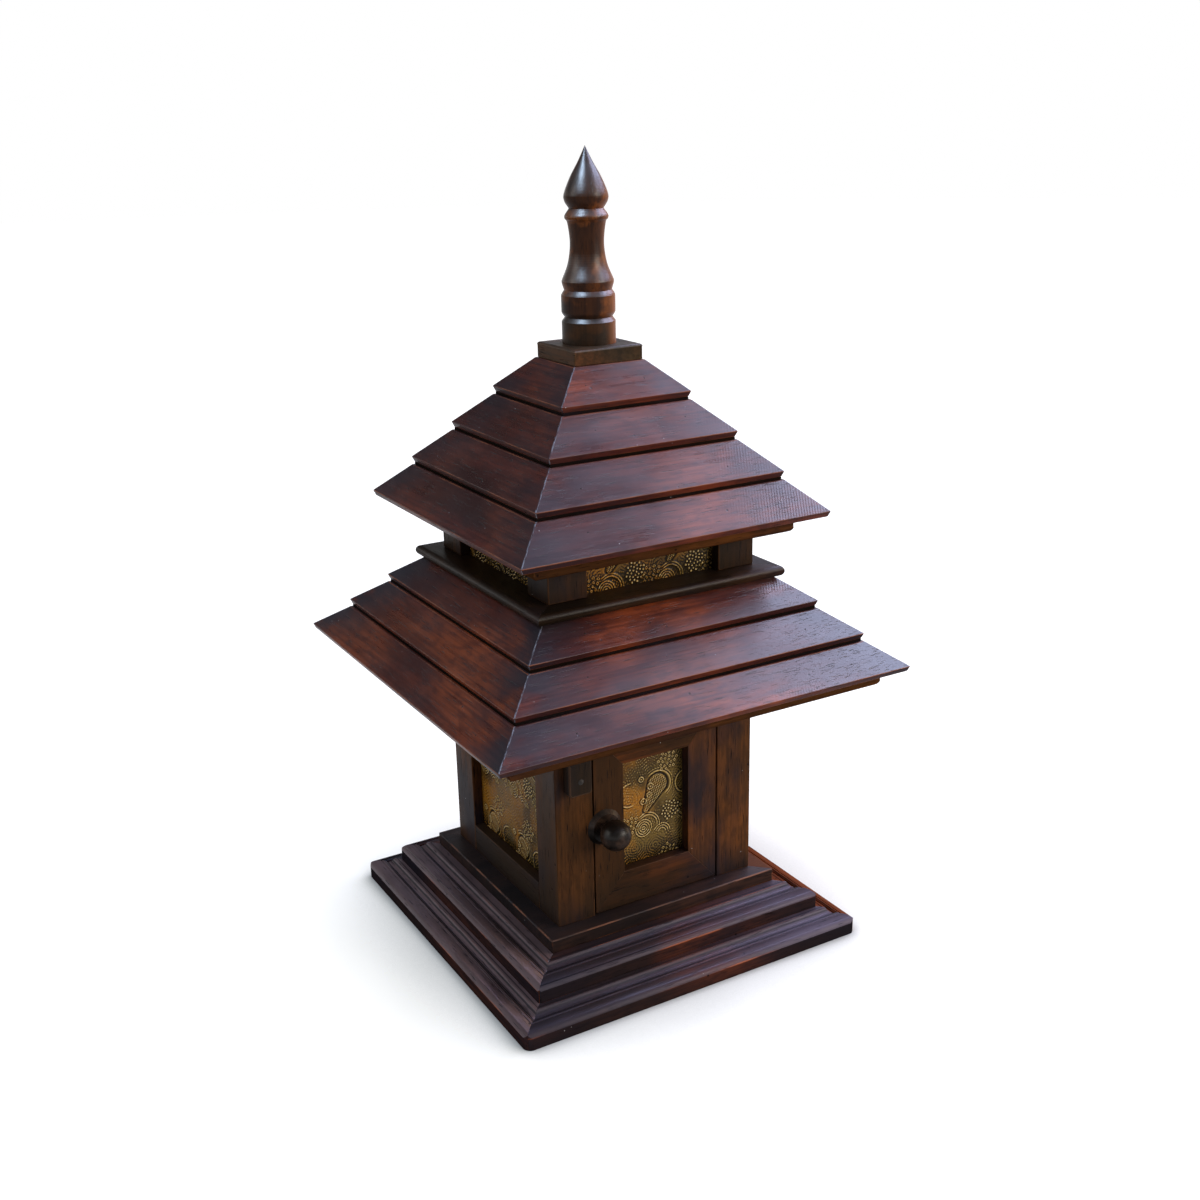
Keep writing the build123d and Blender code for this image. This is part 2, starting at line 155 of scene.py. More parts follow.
class Finish:
    """A material, or a world, in the making, with one method that adds any node."""

    def __init__(self, name, kind=bpy.data.materials):
        self.material = kind.new(name)
        self.material.use_nodes = True
        self.tree = self.material.node_tree
        self.tree.nodes.clear()

    def add(self, kind, settings=None, values=None, output=0):
        """A node of some kind: its settings first, then the values or links of its sockets."""
        node = self.tree.nodes.new(kind)
        for name, value in (settings or {}).items():
            setattr(node, name, value)
        for key, value in (values or {}).items():
            by_identifier = [socket for socket in node.inputs if socket.identifier == key]
            socket = by_identifier[0] if by_identifier else node.inputs[key]
            if isinstance(value, Wire):
                self.tree.links.new(value.socket, socket)
            else:
                socket.default_value = (*value, 1) if socket.type == "RGBA" else value
        if output is None:
            return None
        named = [socket for socket in node.outputs if socket.identifier == output]
        return Wire(self, named[0] if named else node.outputs[output])

    def place(self):
        return self.add("ShaderNodeTexCoord", output="Object")

    def stretched(self, place, scale, move=(0, 0, 0)):
        values = {"Vector": place, "Scale": scale, "Location": move}
        return self.add("ShaderNodeMapping", None, values)

    def noise(self, place, scale, detail=3.0, distortion=0.0):
        """Cloudy noise between 0 and 1. A scale of three numbers is how many clouds to a metre."""
        values = {"Vector": self.stretched(place, scale), "Scale": 1.0, "Detail": detail}
        return self.add("ShaderNodeTexNoise", None, {**values, "Distortion": distortion})

    def kept(self, name):
        """A number that was kept on the mesh under a name."""
        return self.add("ShaderNodeAttribute", {"attribute_name": name}, None, "Fac")

    def bump(self, height, strength, distance, **others):
        values = {"Height": height, "Strength": strength, "Distance": distance, **others}
        return self.add("ShaderNodeBump", None, values)

    def mix(self, factor, first, second):
        """Two colours of three numbers mixed: the first at 0 and the second at 1."""
        values = {"Factor_Float": factor, "A_Color": first, "B_Color": second}
        return self.add("ShaderNodeMix", {"data_type": "RGBA"}, values, "Result_Color")

    def surface(self, shine, waxed=None, waxed_shine=0.5, wax_tint=(1, 1, 1), **values):
        """The shader itself. Where `waxed` is 1 the same shader with another shine takes over."""
        inputs = {name.replace("_", " "): value for name, value in values.items()}
        dry = {**inputs, "Specular IOR Level": shine}
        shader = self.add("ShaderNodeBsdfPrincipled", None, dry)
        if waxed is not None:
            glossy = {**inputs, "Specular IOR Level": waxed_shine, "Specular Tint": wax_tint}
            over = self.add("ShaderNodeBsdfPrincipled", None, glossy)
            shader = self.add("ShaderNodeMixShader", None, {0: waxed, 1: shader, 2: over})
        self.add("ShaderNodeOutputMaterial", None, {"Surface": shader}, None)
        return self.material


def most(highest, *others):
    """The greatest of several values at each point."""
    for other in others:
        highest = highest.math("MAXIMUM", other)
    return highest


print("finishes can now be written as sums")

# %% [markdown]
# ## Stained teak
#
# Teak is straight-grained, with short dark pores, and this one is stained a deep red-brown and
# waxed to a half gloss. Each noise is stretched along the board: a broad one for the figure, a
# fine one for the fibres and a very fine one, cut off high, for the pores. Round noises wear the
# stain away in patches and cloud the gloss, and a few points scattered by a Voronoi texture are
# the dents and specks of a long life.
#
# The grain has to follow each board, and boards meet at mitres. So the pattern reads the place of
# a point as along, across and up, and a ring of boards swaps along and across where the plan's
# diagonal passes, which is just where the mitre is. Stain and dirt gather beside the mitres, so
# the distance from that diagonal darkens the wood there.
#
# Where hands and cloths rub, the stain thins on the edges. The edge strips that are cut later
# carry two numbers, `arris` for long edges and `mitre` for the joints between boards. The finish
# mixes a rubbed colour into the arrises, and pale dust with a painted highlight into the joints.
# A third number, `upward`, says that a face looks up: a cloth with wax reaches the slopes and
# ledges, and leaves the upright faces dry. One shader can't have two shines, so a dry one and a
# waxed one are mixed by it.

# %% Following the board
def plan_place(finish):
    """A point's place as a whole, and as x, y and z, which are 0 at the middle of the plan."""
    place = finish.place()
    x = finish.add("ShaderNodeSeparateXYZ", None, {"Vector": place})
    return place, x, x.other("Y"), x.other("Z")


def along_the_board(finish, grain):
    """A point's place as along, across and up, for a grain of x, y or z or one that runs around."""
    place, x, y, z = plan_place(finish)
    if grain == "x":
        return place
    if grain == "y":
        return finish.add("ShaderNodeCombineXYZ", None, {"X": y, "Y": x, "Z": z})
    if grain == "z":
        return finish.add("ShaderNodeCombineXYZ", None, {"X": z, "Y": y, "Z": x})
    # the boards at the sides read another part of each noise, so that they don't mirror the front
    turned = finish.add("ShaderNodeCombineXYZ", None, {"X": y, "Y": x + 0.7, "Z": z + 0.3})
    values = {"Factor_Float": abs(y) > abs(x), "A_Vector": turned, "B_Vector": place}
    return finish.add("ShaderNodeMix", {"data_type": "VECTOR"}, values, "Result_Vector")


def beside_the_mitre(finish, reach):
    """1 at the mitres of a ring of boards, falling to 0 at a reach from them."""
    _, x, y, _ = plan_place(finish)
    return abs(abs(x) - abs(y)).ramp(reach, 0)


print("a ring of boards can carry its grain round the corners")

# %% The stains, and where they lie
# black of pores, dents and holes, also painted into the quirks of the mouldings as shade
PORE_AND_SHADE_BLACK = (0.006, 0.004, 0.004)
# black of smoke stains and dirt, also used for painted shade on the left side
STAIN_AND_SHADE_BLACK = (0.015, 0.013, 0.018)
# painted light on the left of the base, and a painted lilac sheen on its front towards the right
PAINTED_LEFT_LIGHT = (0.125, 0.078, 0.074)
PAINTED_LILAC_SHEEN = (0.072, 0.052, 0.066)
# the colour of the painted shade under the eaves and of the darkening along the walls' foot
SHADE_AND_DARKENING_BROWN = (0.018, 0.013, 0.009)
# pale dust with a painted highlight, for the joints
DUST_AND_HIGHLIGHT_ON_JOINTS = (0.26, 0.26, 0.30)
PALE_SPECK = (0.40, 0.38, 0.37)
PAINTED_SHADE_UNDER_EAVES = (0.160, 0.204)  # heights at which the painted shade under the eaves starts and is full
# heights at which the walls start to be painted darker towards their foot, and are darkest
DARKER_TOWARDS_SILLS = (0.085, 0.046)
GATHERING_REACH = 74 * MM  # how far from a mitre stain and dirt gather
SAW_PITCH = 2.3 * MM
SAW_SLANT = 0.55
print("soot starts", [PAINTED_SHADE_UNDER_EAVES[0], DARKER_TOWARDS_SILLS[0]], "m above the floor")

# %% Marks of age and tools
def scattered(finish, place, spacing, size):
    """Small round spots of one size, scattered at a spacing, both in millimetres."""
    values = {"Vector": place, "Scale": 1000 / spacing}
    distance = finish.add("ShaderNodeTexVoronoi", None, values, "Distance")
    return distance.ramp(size / spacing, 0.6 * size / spacing)


def tool_marks(finish, board, x, y, patches):
    """Short cuts and the fine lines of a saw, on the right half of the roofs."""
    worked = x.ramp(0.02, 0.10)
    dashes = finish.noise(board, (230, 1700, 1700), detail=0).ramp(0.70, 0.76)
    lines = ((x - y * SAW_SLANT) * (2 * math.pi / SAW_PITCH)).math("SINE")
    return dashes * worked * patches.ramp(0.60, 0.48), lines * worked * patches.ramp(0.44, 0.56)


def moulding_lines(x, y, z, quirks, worn_levels):
    """The sunk lines of a moulding, painted dark as shade, and the heights at which its edges
    are worn.
    """
    outward = most(abs(x), abs(y))
    sunk = most(*(abs(outward - away * MM).ramp(0.6 * MM, 0.25 * MM) for away in quirks))
    return sunk, most(*(abs(z - level * MM).ramp(0.75 * MM, 0.2 * MM) for level in worn_levels))


print("spots, tool marks and moulding lines can be drawn")

# %% The teak finish
def teak(
    name, grain, dark, middle, bright, rubbed_and_lit, gloss=0.40, dry=0.05, waxed=0.5, smoke=0.5,
    gathered=0.0, tooled=0.0, planed=0.5, quirks=(), worn_levels=(), painted_right_light=0.0, painted_side_light=0.0,
    shaded_and_darkened_ends=False, wax_tint=(1, 1, 1),
):
    """Stained teak in four colours: deep stain, usual stain, thin stain, and a worn colour for the
    edges, which is also painted on the right side as warm light.

    The other values are how rough it is, how much it shines dry and waxed, and the shares of smoke,
    of dirt at the mitres, of tool marks and of the plane's waves. Quirks are the sunk lines of a
    moulding, in millimetres from the middle, painted dark as the shade in them, and worn levels are
    heights at which it is worn. The side values paint light on the right, light on the left and a
    lilac sheen on the front, and the ends paint shade under the eaves and darken the wall's foot.
    """
    finish = Finish(name)
    board = along_the_board(finish, grain)
    _, x, y, z = plan_place(finish)
    figure = finish.noise(board, (3, 26, 26), detail=3, distortion=0.6)
    fibre = finish.noise(board, (14, 420, 420), detail=4)
    mottle = finish.noise(board, (70, 190, 190), detail=5)
    pores = finish.noise(board, (75, 1300, 1300), detail=1).ramp(0.63, 0.74)
    patches = finish.noise(board, (7, 14, 14), detail=2, distortion=0.3)
    clouds = finish.noise(board, (22, 40, 40), detail=5)
    dents = scattered(finish, board, 17, 1.1)
    specks = scattered(finish, finish.stretched(board, (1, 1, 1), (5, 3, 1)), 13, 0.45)
    upward, arris, mitre = (finish.kept(name) for name in ("upward", "arris", "mitre"))
    right_side = (x - abs(y)) > 0
    left_side = (x * -1 - abs(y)) > 0

    stain = finish.mix(figure.ramp(0.30, 0.68), dark, middle)
    # the left side gets fewer patches of thin stain: painted shade, where less light falls
    stain = finish.mix(patches.ramp(0.40, 0.66) * (0.95 - left_side * 0.35), stain, bright)
    stain = finish.mix(fibre.ramp(0.62, 0.32) * 0.55, stain, dark)
    stain = finish.mix(mottle.ramp(0.44, 0.66) * 0.50, stain, dark)
    # painted shade under the eaves, and darker towards the foot of the walls
    if shaded_and_darkened_ends:
        shade_and_darkening = most(z.ramp(*PAINTED_SHADE_UNDER_EAVES), z.ramp(*DARKER_TOWARDS_SILLS))
        stain = finish.mix(shade_and_darkening * (clouds * 0.8 + 0.28), stain, SHADE_AND_DARKENING_BROWN)
    # painted warm light: the right side takes the worn colour
    if painted_right_light:
        stain = finish.mix(right_side * painted_right_light, stain, rubbed_and_lit)
    smoke_dirt_and_shade = finish.noise(board, (9, 17, 17), detail=5).ramp(0.48, 0.70) * smoke
    if gathered:
        # dirt gathers beside the mitres, with a little more painted on the left side as shade
        dirt_and_left_shade = clouds.ramp(0.22, 0.56) + left_side * 0.12
        smoke_dirt_and_shade = most(smoke_dirt_and_shade, beside_the_mitre(finish, GATHERING_REACH) * dirt_and_left_shade * gathered)
    # smoke, dirt and painted shade darken the stain, less on the right side, where light is painted
    stain = finish.mix(smoke_dirt_and_shade * (1 - right_side * painted_right_light), stain, STAIN_AND_SHADE_BLACK)
    # painted light on the left side of faces that look up, and a painted lilac sheen growing to the
    # right
    if painted_side_light:
        painted_light_share = upward * (clouds.ramp(0.3, 0.6) * 0.4 + 0.6) * painted_side_light
        stain = finish.mix(left_side * painted_light_share, stain, PAINTED_LEFT_LIGHT)
        stain = finish.mix(x.ramp(0.01, 0.12) * (1 - right_side) * painted_light_share, stain, PAINTED_LILAC_SHEEN)
    broken = clouds.ramp(0.40, 0.60)
    stain = finish.mix(arris * broken * 0.75, stain, rubbed_and_lit)
    # the joints get pale dust with a painted highlight
    stain = finish.mix(mitre * (mottle.ramp(0.40, 0.56) * 0.7 + 0.1), stain, DUST_AND_HIGHLIGHT_ON_JOINTS)
    holes = most(pores, dents)
    height = fibre * 0.4 + clouds * 0.4 + mottle * 0.5
    if tooled:
        cuts, lines = tool_marks(finish, board, x, y, patches)
        holes = most(holes, cuts)
        height = height + lines * tooled
    if quirks:
        sunk, worn = moulding_lines(x, y, z, quirks, worn_levels)
        # the quirks of the mouldings are painted near black as the shade in them
        stain = finish.mix(sunk * upward * 0.9, stain, PORE_AND_SHADE_BLACK)
        stain = finish.mix(worn * broken * patches.ramp(0.42, 0.58) * 0.9, stain, rubbed_and_lit)
    stain = finish.mix(holes * 0.8, stain, PORE_AND_SHADE_BLACK)
    stain = finish.mix(specks * 0.8, stain, PALE_SPECK)

    roughness = gloss + (clouds - 0.5) * 0.28 + holes * 0.2 + (fibre - 0.5) * 0.14 + arris * 0.2
    waves = finish.noise(board, (11, 26, 26), detail=2)
    planing = finish.bump(waves, planed, 2.0 * MM)
    normal = finish.bump(height - holes * 0.8, 0.45, 0.25 * MM, Normal=planing)
    share = upward * (clouds * 0.4 + 0.75)
    if painted_right_light:
        share = share * (1 - right_side)
    return finish.surface(
        dry, share, waxed, wax_tint, Base_Color=stain, Roughness=roughness, Normal=normal, IOR=1.5
    )


print("stained teak can be mixed")

# %% [markdown]
# One finish doesn't fit every board. The roofs have the reddest stain and the base is darkest,
# with painted light on its sides and a painted lilac sheen along its front. The walls get painted
# shade under the eaves and are darker along their foot, and the thin plates between the roof
# tiers are painted nearly black as the shadow in the gaps. So each place gets its own four stains
# and shares.

# %% Teak for each place
roof_teak = teak(
    "roof_teak", "around",
    dark=(0.034, 0.008, 0.007), middle=(0.115, 0.022, 0.011), bright=(0.310, 0.066, 0.018),
    rubbed_and_lit=(0.20, 0.055, 0.018), gloss=0.32, dry=0.05, waxed=0.58, gathered=0.85, tooled=0.18,
)
upper_roof_teak = teak(
    "upper_roof_teak", "around",
    dark=(0.030, 0.009, 0.008), middle=(0.104, 0.020, 0.012), bright=(0.210, 0.045, 0.017),
    rubbed_and_lit=(0.20, 0.055, 0.018), gloss=0.32, dry=0.05, waxed=0.48, gathered=0.60, tooled=0.18,
)
base_teak = teak(
    "base_teak", "around",
    dark=(0.014, 0.011, 0.012), middle=(0.032, 0.017, 0.015), bright=(0.085, 0.027, 0.017),
    rubbed_and_lit=(0.30, 0.075, 0.022), gloss=0.38, dry=0.0, waxed=0.30, smoke=0.8, gathered=0.5,
    planed=0.10, quirks=(129.6, 127.9, 124.6, 121.6, 108.6, 106.9, 103.6, 100.2),
    worn_levels=(9.2, 27.2), painted_right_light=0.55, painted_side_light=0.85, wax_tint=(0.78, 0.74, 1.0),
)
slab_teak = teak(
    "slab_teak", "around",
    dark=(0.008, 0.005, 0.003), middle=(0.024, 0.012, 0.006), bright=(0.056, 0.022, 0.009),
    rubbed_and_lit=(0.034, 0.017, 0.009), gloss=0.40, dry=0.02, waxed=0.24, smoke=0.5,
)
shelf_teak = teak(
    "shelf_teak", "x",
    dark=(0.013, 0.010, 0.010), middle=(0.030, 0.017, 0.014), bright=(0.055, 0.026, 0.018),
    rubbed_and_lit=(0.20, 0.070, 0.030), gloss=0.40, dry=0.02, waxed=0.35, painted_right_light=0.5,
)
cap_teak = teak(
    "cap_teak", "y",
    dark=(0.022, 0.015, 0.008), middle=(0.060, 0.036, 0.018), bright=(0.110, 0.040, 0.016),
    rubbed_and_lit=(0.12, 0.070, 0.035), gloss=0.42, dry=0.03, waxed=0.45,
)
eaves_teak = teak(
    "eaves_teak", "around",
    dark=(0.046, 0.019, 0.008), middle=(0.095, 0.036, 0.012), bright=(0.160, 0.055, 0.015),
    rubbed_and_lit=(0.18, 0.070, 0.024), gloss=0.44, dry=0.0, waxed=0.20, smoke=0.6, painted_right_light=0.05,
)
wall_teak = teak(
    "wall_teak", "around",
    dark=(0.026, 0.012, 0.005), middle=(0.066, 0.026, 0.009), bright=(0.135, 0.040, 0.011),
    rubbed_and_lit=(0.09, 0.040, 0.018), gloss=0.46, dry=0.04, waxed=0.20, smoke=0.9, shaded_and_darkened_ends=True,
)
post_teak = teak(
    "post_teak", "z",
    dark=(0.032, 0.015, 0.006), middle=(0.084, 0.033, 0.011), bright=(0.155, 0.052, 0.014),
    rubbed_and_lit=(0.10, 0.045, 0.020), gloss=0.46, dry=0.04, waxed=0.20, smoke=0.9, shaded_and_darkened_ends=True,
)
button_teak = teak(
    "button_teak", "z",
    dark=(0.012, 0.008, 0.005), middle=(0.030, 0.017, 0.009), bright=(0.055, 0.026, 0.012),
    rubbed_and_lit=(0.12, 0.065, 0.040), gloss=0.44, dry=0.05, waxed=0.20, smoke=0.6,
)
# near-black teak for the thin plates between the roof tiers: painted shadow in the gaps under each
# tier
shade_teak = teak(
    "shade_teak", "around",
    dark=(0.006, 0.004, 0.003), middle=(0.010, 0.006, 0.004), bright=(0.016, 0.008, 0.005),
    rubbed_and_lit=(0.014, 0.008, 0.005), gloss=0.60, dry=0.0, waxed=0.05,
)
teak_names = [material.name for material in bpy.data.materials if "teak" in material.name]
print("teak finishes:", teak_names)

# %% [markdown]
# ## Boards with worn edges
#
# The joinery's boards have knife-sharp edges, and no real edge is. Light shows it: a rounded edge
# catches a thin line of it, and that line tells the eye how big and how old a board is.
#
# A Bevel modifier could round them all, but it couldn't tell a mitre from an arris. So a board is
# copied, its loose triangles are merged and its flat faces cleaned up, and the bevel operator
# rounds its outward edges. It gives back the strips that it made, and those get the two numbers
# that the teak finish reads. The sharp inner corners stay, as a saw leaves them.

# %% Small helpers for shapes
def everything(shape):
    return shape.verts[:] + shape.edges[:] + shape.faces[:]


def verts_in(items):
    return [item for item in items if isinstance(item, bmesh.types.BMVert)]


def edges_in(items):
    return [item for item in items if isinstance(item, bmesh.types.BMEdge)]


def mark(face, layer, number):
    """Keeps a number on every corner of a face."""
    for corner in face.loops:
        corner[layer] = number


def bevelled(shape, edges, width, segments, clamp=False):
    """Rounds edges, and gives back the strips of faces that this makes."""
    made = bmesh.ops.bevel(
        shape, geom=edges, offset=width, offset_type="OFFSET", segments=segments, profile=0.5,
        affect="EDGES", clamp_overlap=clamp, material=-1,
    )
    return made["faces"]


def merged_copy(node):
    """A bmesh of a joinery node, with its loose triangles joined."""
    shape = bmesh.new()
    shape.from_mesh(nodes[node].data)
    bmesh.ops.remove_doubles(shape, verts=shape.verts, dist=0.001 * MM)
    return shape


print("joinery can be copied")

# %% Rounding a copy of a board
ROUNDED_TURN = math.radians(32)  # an edge that turns by more than this is a real one
SHORTEST_EDGE = 1.6 * MM  # shorter ones are the sides of small round holes
CUT_GAP = 1e-7  # how near a cutting plane a point counts as on it


def cleaned_copy(node):
    """A merged copy with its triangles dissolved into flat faces."""
    shape = merged_copy(node)
    bmesh.ops.dissolve_limit(
        shape, angle_limit=math.radians(0.5), verts=shape.verts, edges=shape.edges,
        delimit={"NORMAL"},
    )
    return shape


def round_corners(shape, half, radius):
    """Cuts the four upright corners of a square ring to a round, with five planes at each."""
    centre = half - radius
    for corner in range(4):
        for step in (1 / 6, 2 / 6, 3 / 6, 4 / 6, 5 / 6):
            turn = (corner + step) * math.pi / 2
            away = Vector((math.cos(turn), math.sin(turn), 0))
            middle = Vector((math.copysign(centre, away.x), math.copysign(centre, away.y), 0))
            cut = bmesh.ops.bisect_plane(
                shape, geom=everything(shape), dist=CUT_GAP, plane_co=middle + away * radius,
                plane_no=away, clear_outer=True,
            )
            rim = [edge for edge in edges_in(cut["geom_cut"]) if edge.is_boundary]
            bmesh.ops.edgeloop_fill(shape, edges=rim)


def is_mitre(face):
    """True if a strip runs along the plan's diagonal, as only the mitres do."""
    longest = max(face.edges, key=lambda edge: edge.calc_length())
    run = longest.verts[1].co - longest.verts[0].co
    return abs(abs(run.x) - abs(run.y)) < 0.1 * run.length and abs(run.z) < 0.9 * run.length


def round_edges(shape, width):
    """Rounds the outward edges and marks the strips as arris or mitre."""
    sharp = [
        edge for edge in shape.edges
        if edge.is_manifold and edge.calc_face_angle_signed() > ROUNDED_TURN
        and edge.calc_length() > SHORTEST_EDGE
    ]
    strips = bevelled(shape, sharp, width, segments=2, clamp=True)
    arris = shape.loops.layers.float.new("arris")
    mitre = shape.loops.layers.float.new("mitre")
    for face in strips:
        mark(face, mitre if is_mitre(face) else arris, 1.0)
    return len(sharp)


def share_past(value, start, span):
    """0 up to the start, then rising to 1 over the span."""
    return min(max((value - start) / span, 0.0), 1.0)


def mark_upward(shape, sunny=0.0):
    """Keeps on every corner how much its face looks up, from 0 for an upright face to 1.

    With sunny above 0 the share falls on faces that look to the right, where sun has dried the wax.
    """
    upward = shape.loops.layers.float.new("upward")
    for face in shape.faces:
        share = share_past(face.normal.z, 0.12, 0.35)
        mark(face, upward, share * (1 - sunny * share_past(face.normal.x, -0.15, 0.40)))


def finished_piece(name, shape, body, material, replaced=()):
    """Turns a bmesh into a piece that rides on a body and stands for joinery nodes."""
    mesh = bpy.data.meshes.new(name)
    shape.to_mesh(mesh)
    shape.free()
    mesh.materials.append(material)
    mesh.shade_smooth()
    mesh.set_sharp_from_angle(angle=ROUNDED_TURN + 0.02)
    piece = into_scene(name, mesh)
    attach(piece, body)
    if replaced:
        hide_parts(*replaced)
    return piece


def worn_board(node, body, material, width, corner_radius=0.0):
    """Replaces a board by a copy with rounded edges, and says how many edges that were."""
    shape = cleaned_copy(node)
    if corner_radius:
        round_corners(shape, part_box(node)[1].x, corner_radius)
    rounded = round_edges(shape, width)
    mark_upward(shape)
    piece = finished_piece(f"worn_{node}", shape, body, material, [node])
    piece.modifiers.new("even shading", "WEIGHTED_NORMAL").keep_sharp = True
    return rounded


print("boards can now be copied and rounded")

# %% [markdown]
# Nearly every board is treated alike, so a table says which boards there are, which finish they
# get and how far their edges are rubbed round. The mouldings are rounded least, because their
# beads and quirks are only a millimetre or two across, but seen from above their four corners are
# worn round, and those are cut first.

# %% Every board
ring = ("front_back", "sides")
boards = [  # name, whether it is a ring of two pairs of boards, finish, and rounding in mm
    ("base_moulding", True, base_teak, 0.25), ("second_moulding", True, base_teak, 0.25),
    *((f"lower_roof_tier_{tier}", True, roof_teak, 0.5) for tier in (1, 2, 3)),
    *((f"upper_roof_tier_{tier}", True, upper_roof_teak, 0.5) for tier in (1, 2, 3, 4)),
    ("balcony_slab", True, slab_teak, 0.4), ("plinth_board", False, shelf_teak, 0.8),
    ("eaves_board", False, eaves_teak, 0.6), ("upper_eaves_board", False, eaves_teak, 0.6),
    ("cap_block", False, cap_teak, 0.8), ("lower_roof_plates", False, shade_teak, 0.2),
    ("upper_roof_plates", False, shade_teak, 0.2), ("corner_posts", False, post_teak, 0.8),
    ("upper_posts", False, post_teak, 0.8), ("window_sills", False, wall_teak, 0.5),
    ("window_heads", False, wall_teak, 0.5), ("door_head", False, wall_teak, 0.5),
]
corner_radii = {"base_moulding": 6.0, "second_moulding": 2.5}  # seen from above, in mm
for name, in_pairs, material, width in boards:
    for node in [f"{name}_{pair}" for pair in ring] if in_pairs else [name]:
        radius = corner_radii.get(name, 0.0)
        rounded = worn_board(node, "house", material, width * MM, radius * MM)
        print(f"{node}: {rounded} edges rounded by {width} mm")
for node, material in (("door_stiles", post_teak), ("door_rails", wall_teak)):
    print(node, worn_board(node, "door", material, 0.6 * MM), "edges")

# %% [markdown]
# ## Turned work
#
# The finial and the knob came off a lathe, so they are perfectly round and their curves flow. The
# joinery has them in a few straight cuts. They could be smoothed with a subdivision surface, but
# that would soften the crisp grooves too. A turner's way is better: take the outline, ease its
# curves, keep its corners and turn it again.
#
# The outline is read from the joinery. A plane through the axis cuts the merged copy, and the cut
# edges on one side are the outline, from the foot to the tip. Where it bends by little it is a
# curve in disguise, and a smooth spline goes through its points there. The finial's bud gets one
# more point, because it is fuller below its widest place than a straight cut.

# %% Reading an outline and turning it again
CORNER_TURN = math.radians(34)  # the outline keeps a corner where it bends by more
TURNING_STEPS = 96


def lathe_frame(centre, axis):
    """The matrix that stands the Z axis on a centre, along an axis."""
    turn = Vector((0, 0, 1)).rotation_difference(Vector(axis))
    return Matrix.Translation(centre) @ turn.to_matrix().to_4x4()


def outline_of(node, stand):
    """The node's half outline as (radius, height) points, bottom to top, in a lathe's frame.

    What lies below the frame's own floor, such as a tenon, is left out.
    """
    shape = merged_copy(node)
    bmesh.ops.transform(shape, matrix=stand.inverted(), verts=shape.verts)
    cut = bmesh.ops.bisect_plane(
        shape, geom=everything(shape), dist=CUT_GAP, plane_co=(0, 0, 0), plane_no=(0, 1, 0)
    )
    just_below_zero = -0.001 * MM
    right = [
        edge for edge in edges_in(cut["geom_cut"])
        if min(vert.co.x for vert in edge.verts) > just_below_zero
    ]
    links = {}
    for edge in right:
        first, second = edge.verts
        links.setdefault(first, []).append(second)
        links.setdefault(second, []).append(first)
    ends = [vert for vert in links if len(links[vert]) == 1]
    walk = [min(ends, key=lambda vert: vert.co.z)]
    while True:
        onward = [vert for vert in links[walk[-1]] if vert not in walk]
        if not onward:
            break
        walk.append(onward[0])
    points = [Vector((vert.co.x, vert.co.z)) for vert in walk]
    shape.free()
    return [point for point in without_straight_points(points) if point.y > just_below_zero]


def without_straight_points(points):
    """Leaves out the points that lie along a straight stretch."""
    kept = [points[0]]
    for point, after in zip(points[1:], points[2:]):
        step = point - kept[-1]
        if step.length > 1e-6 and abs(step.angle_signed(after - point)) > math.radians(0.8):
            kept.append(point)
    return kept + [points[-1]]


def eased(points, steps=8):
    """A smooth curve, a Catmull-Rom spline, through the points, with the corners kept."""
    corners = [0, len(points) - 1]
    for index in range(1, len(points) - 1):
        turn = (points[index] - points[index - 1]).angle(points[index + 1] - points[index])
        if turn > CORNER_TURN:
            corners.append(index)
    corners.sort()
    smooth = [points[0]]
    for start, stop in zip(corners, corners[1:]):
        stretch = points[start:stop + 1]
        for index in range(len(stretch) - 1):
            a = stretch[max(index - 1, 0)]
            b, c = stretch[index], stretch[index + 1]
            d = stretch[min(index + 2, len(stretch) - 1)]
            count = steps if len(stretch) > 2 else 1
            for step in range(1, count + 1):
                t = step / count
                smooth.append(0.5 * (
                    2 * b + (c - a) * t + (2 * a - 5 * b + 4 * c - d) * t**2
                    + (3 * b - a - 3 * c + d) * t**3
                ))
    return smooth


def softened(points, reach):
    """The outline with its outward corners cut back by up to a reach, and its grooves kept."""
    longest_arm = 0.42  # of the stretch beside the corner
    soft = [points[0]]
    for before, corner, after in zip(points, points[1:], points[2:]):
        entering, leaving = corner - before, after - corner
        outward = entering.x * leaving.y - entering.y * leaving.x > 0
        if outward and entering.angle(leaving) > CORNER_TURN and before.y > 0:
            arm = min(reach, longest_arm * entering.length, longest_arm * leaving.length)
            start, stop = corner - entering.normalized() * arm, corner + leaving.normalized() * arm
            soft += [start, (start + stop + 2 * corner) / 4, stop]
        else:
            soft.append(corner)
    return soft + [points[-1]]


def turned_piece(outline, stand):
    """Spins an outline of (radius, height) points round a lathe's axis."""
    shape = bmesh.new()
    line = [shape.verts.new((max(radius, 0.0), 0.0, height)) for radius, height in outline]
    edges = [shape.edges.new(pair) for pair in zip(line, line[1:])]
    bmesh.ops.spin(
        shape, geom=line + edges, cent=(0, 0, 0), axis=(0, 0, 1), dvec=(0, 0, 0),
        angle=2 * math.pi, steps=TURNING_STEPS, use_merge=True,
    )
    bmesh.ops.remove_doubles(shape, verts=shape.verts, dist=0.002 * MM)
    bmesh.ops.transform(shape, matrix=stand, verts=shape.verts)
    bmesh.ops.recalc_face_normals(shape, faces=shape.faces)
    mark_upward(shape, sunny=0.75)
    return shape


print("outlines can be read and turned")

# %% [markdown]
# The grain of turned work runs with the axis, and the lathe leaves faint rings. Turned teak is
# oiled more and shines more than the boards. The side of the finial that looks to the right is
# painted a warm orange as rim light, and carries less wax.

# %% The turned finish
OLIVE_DUST = (0.020, 0.013, 0.007)
LATHE_PITCH = 0.9 * MM
cap_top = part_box("cap_block")[1].z


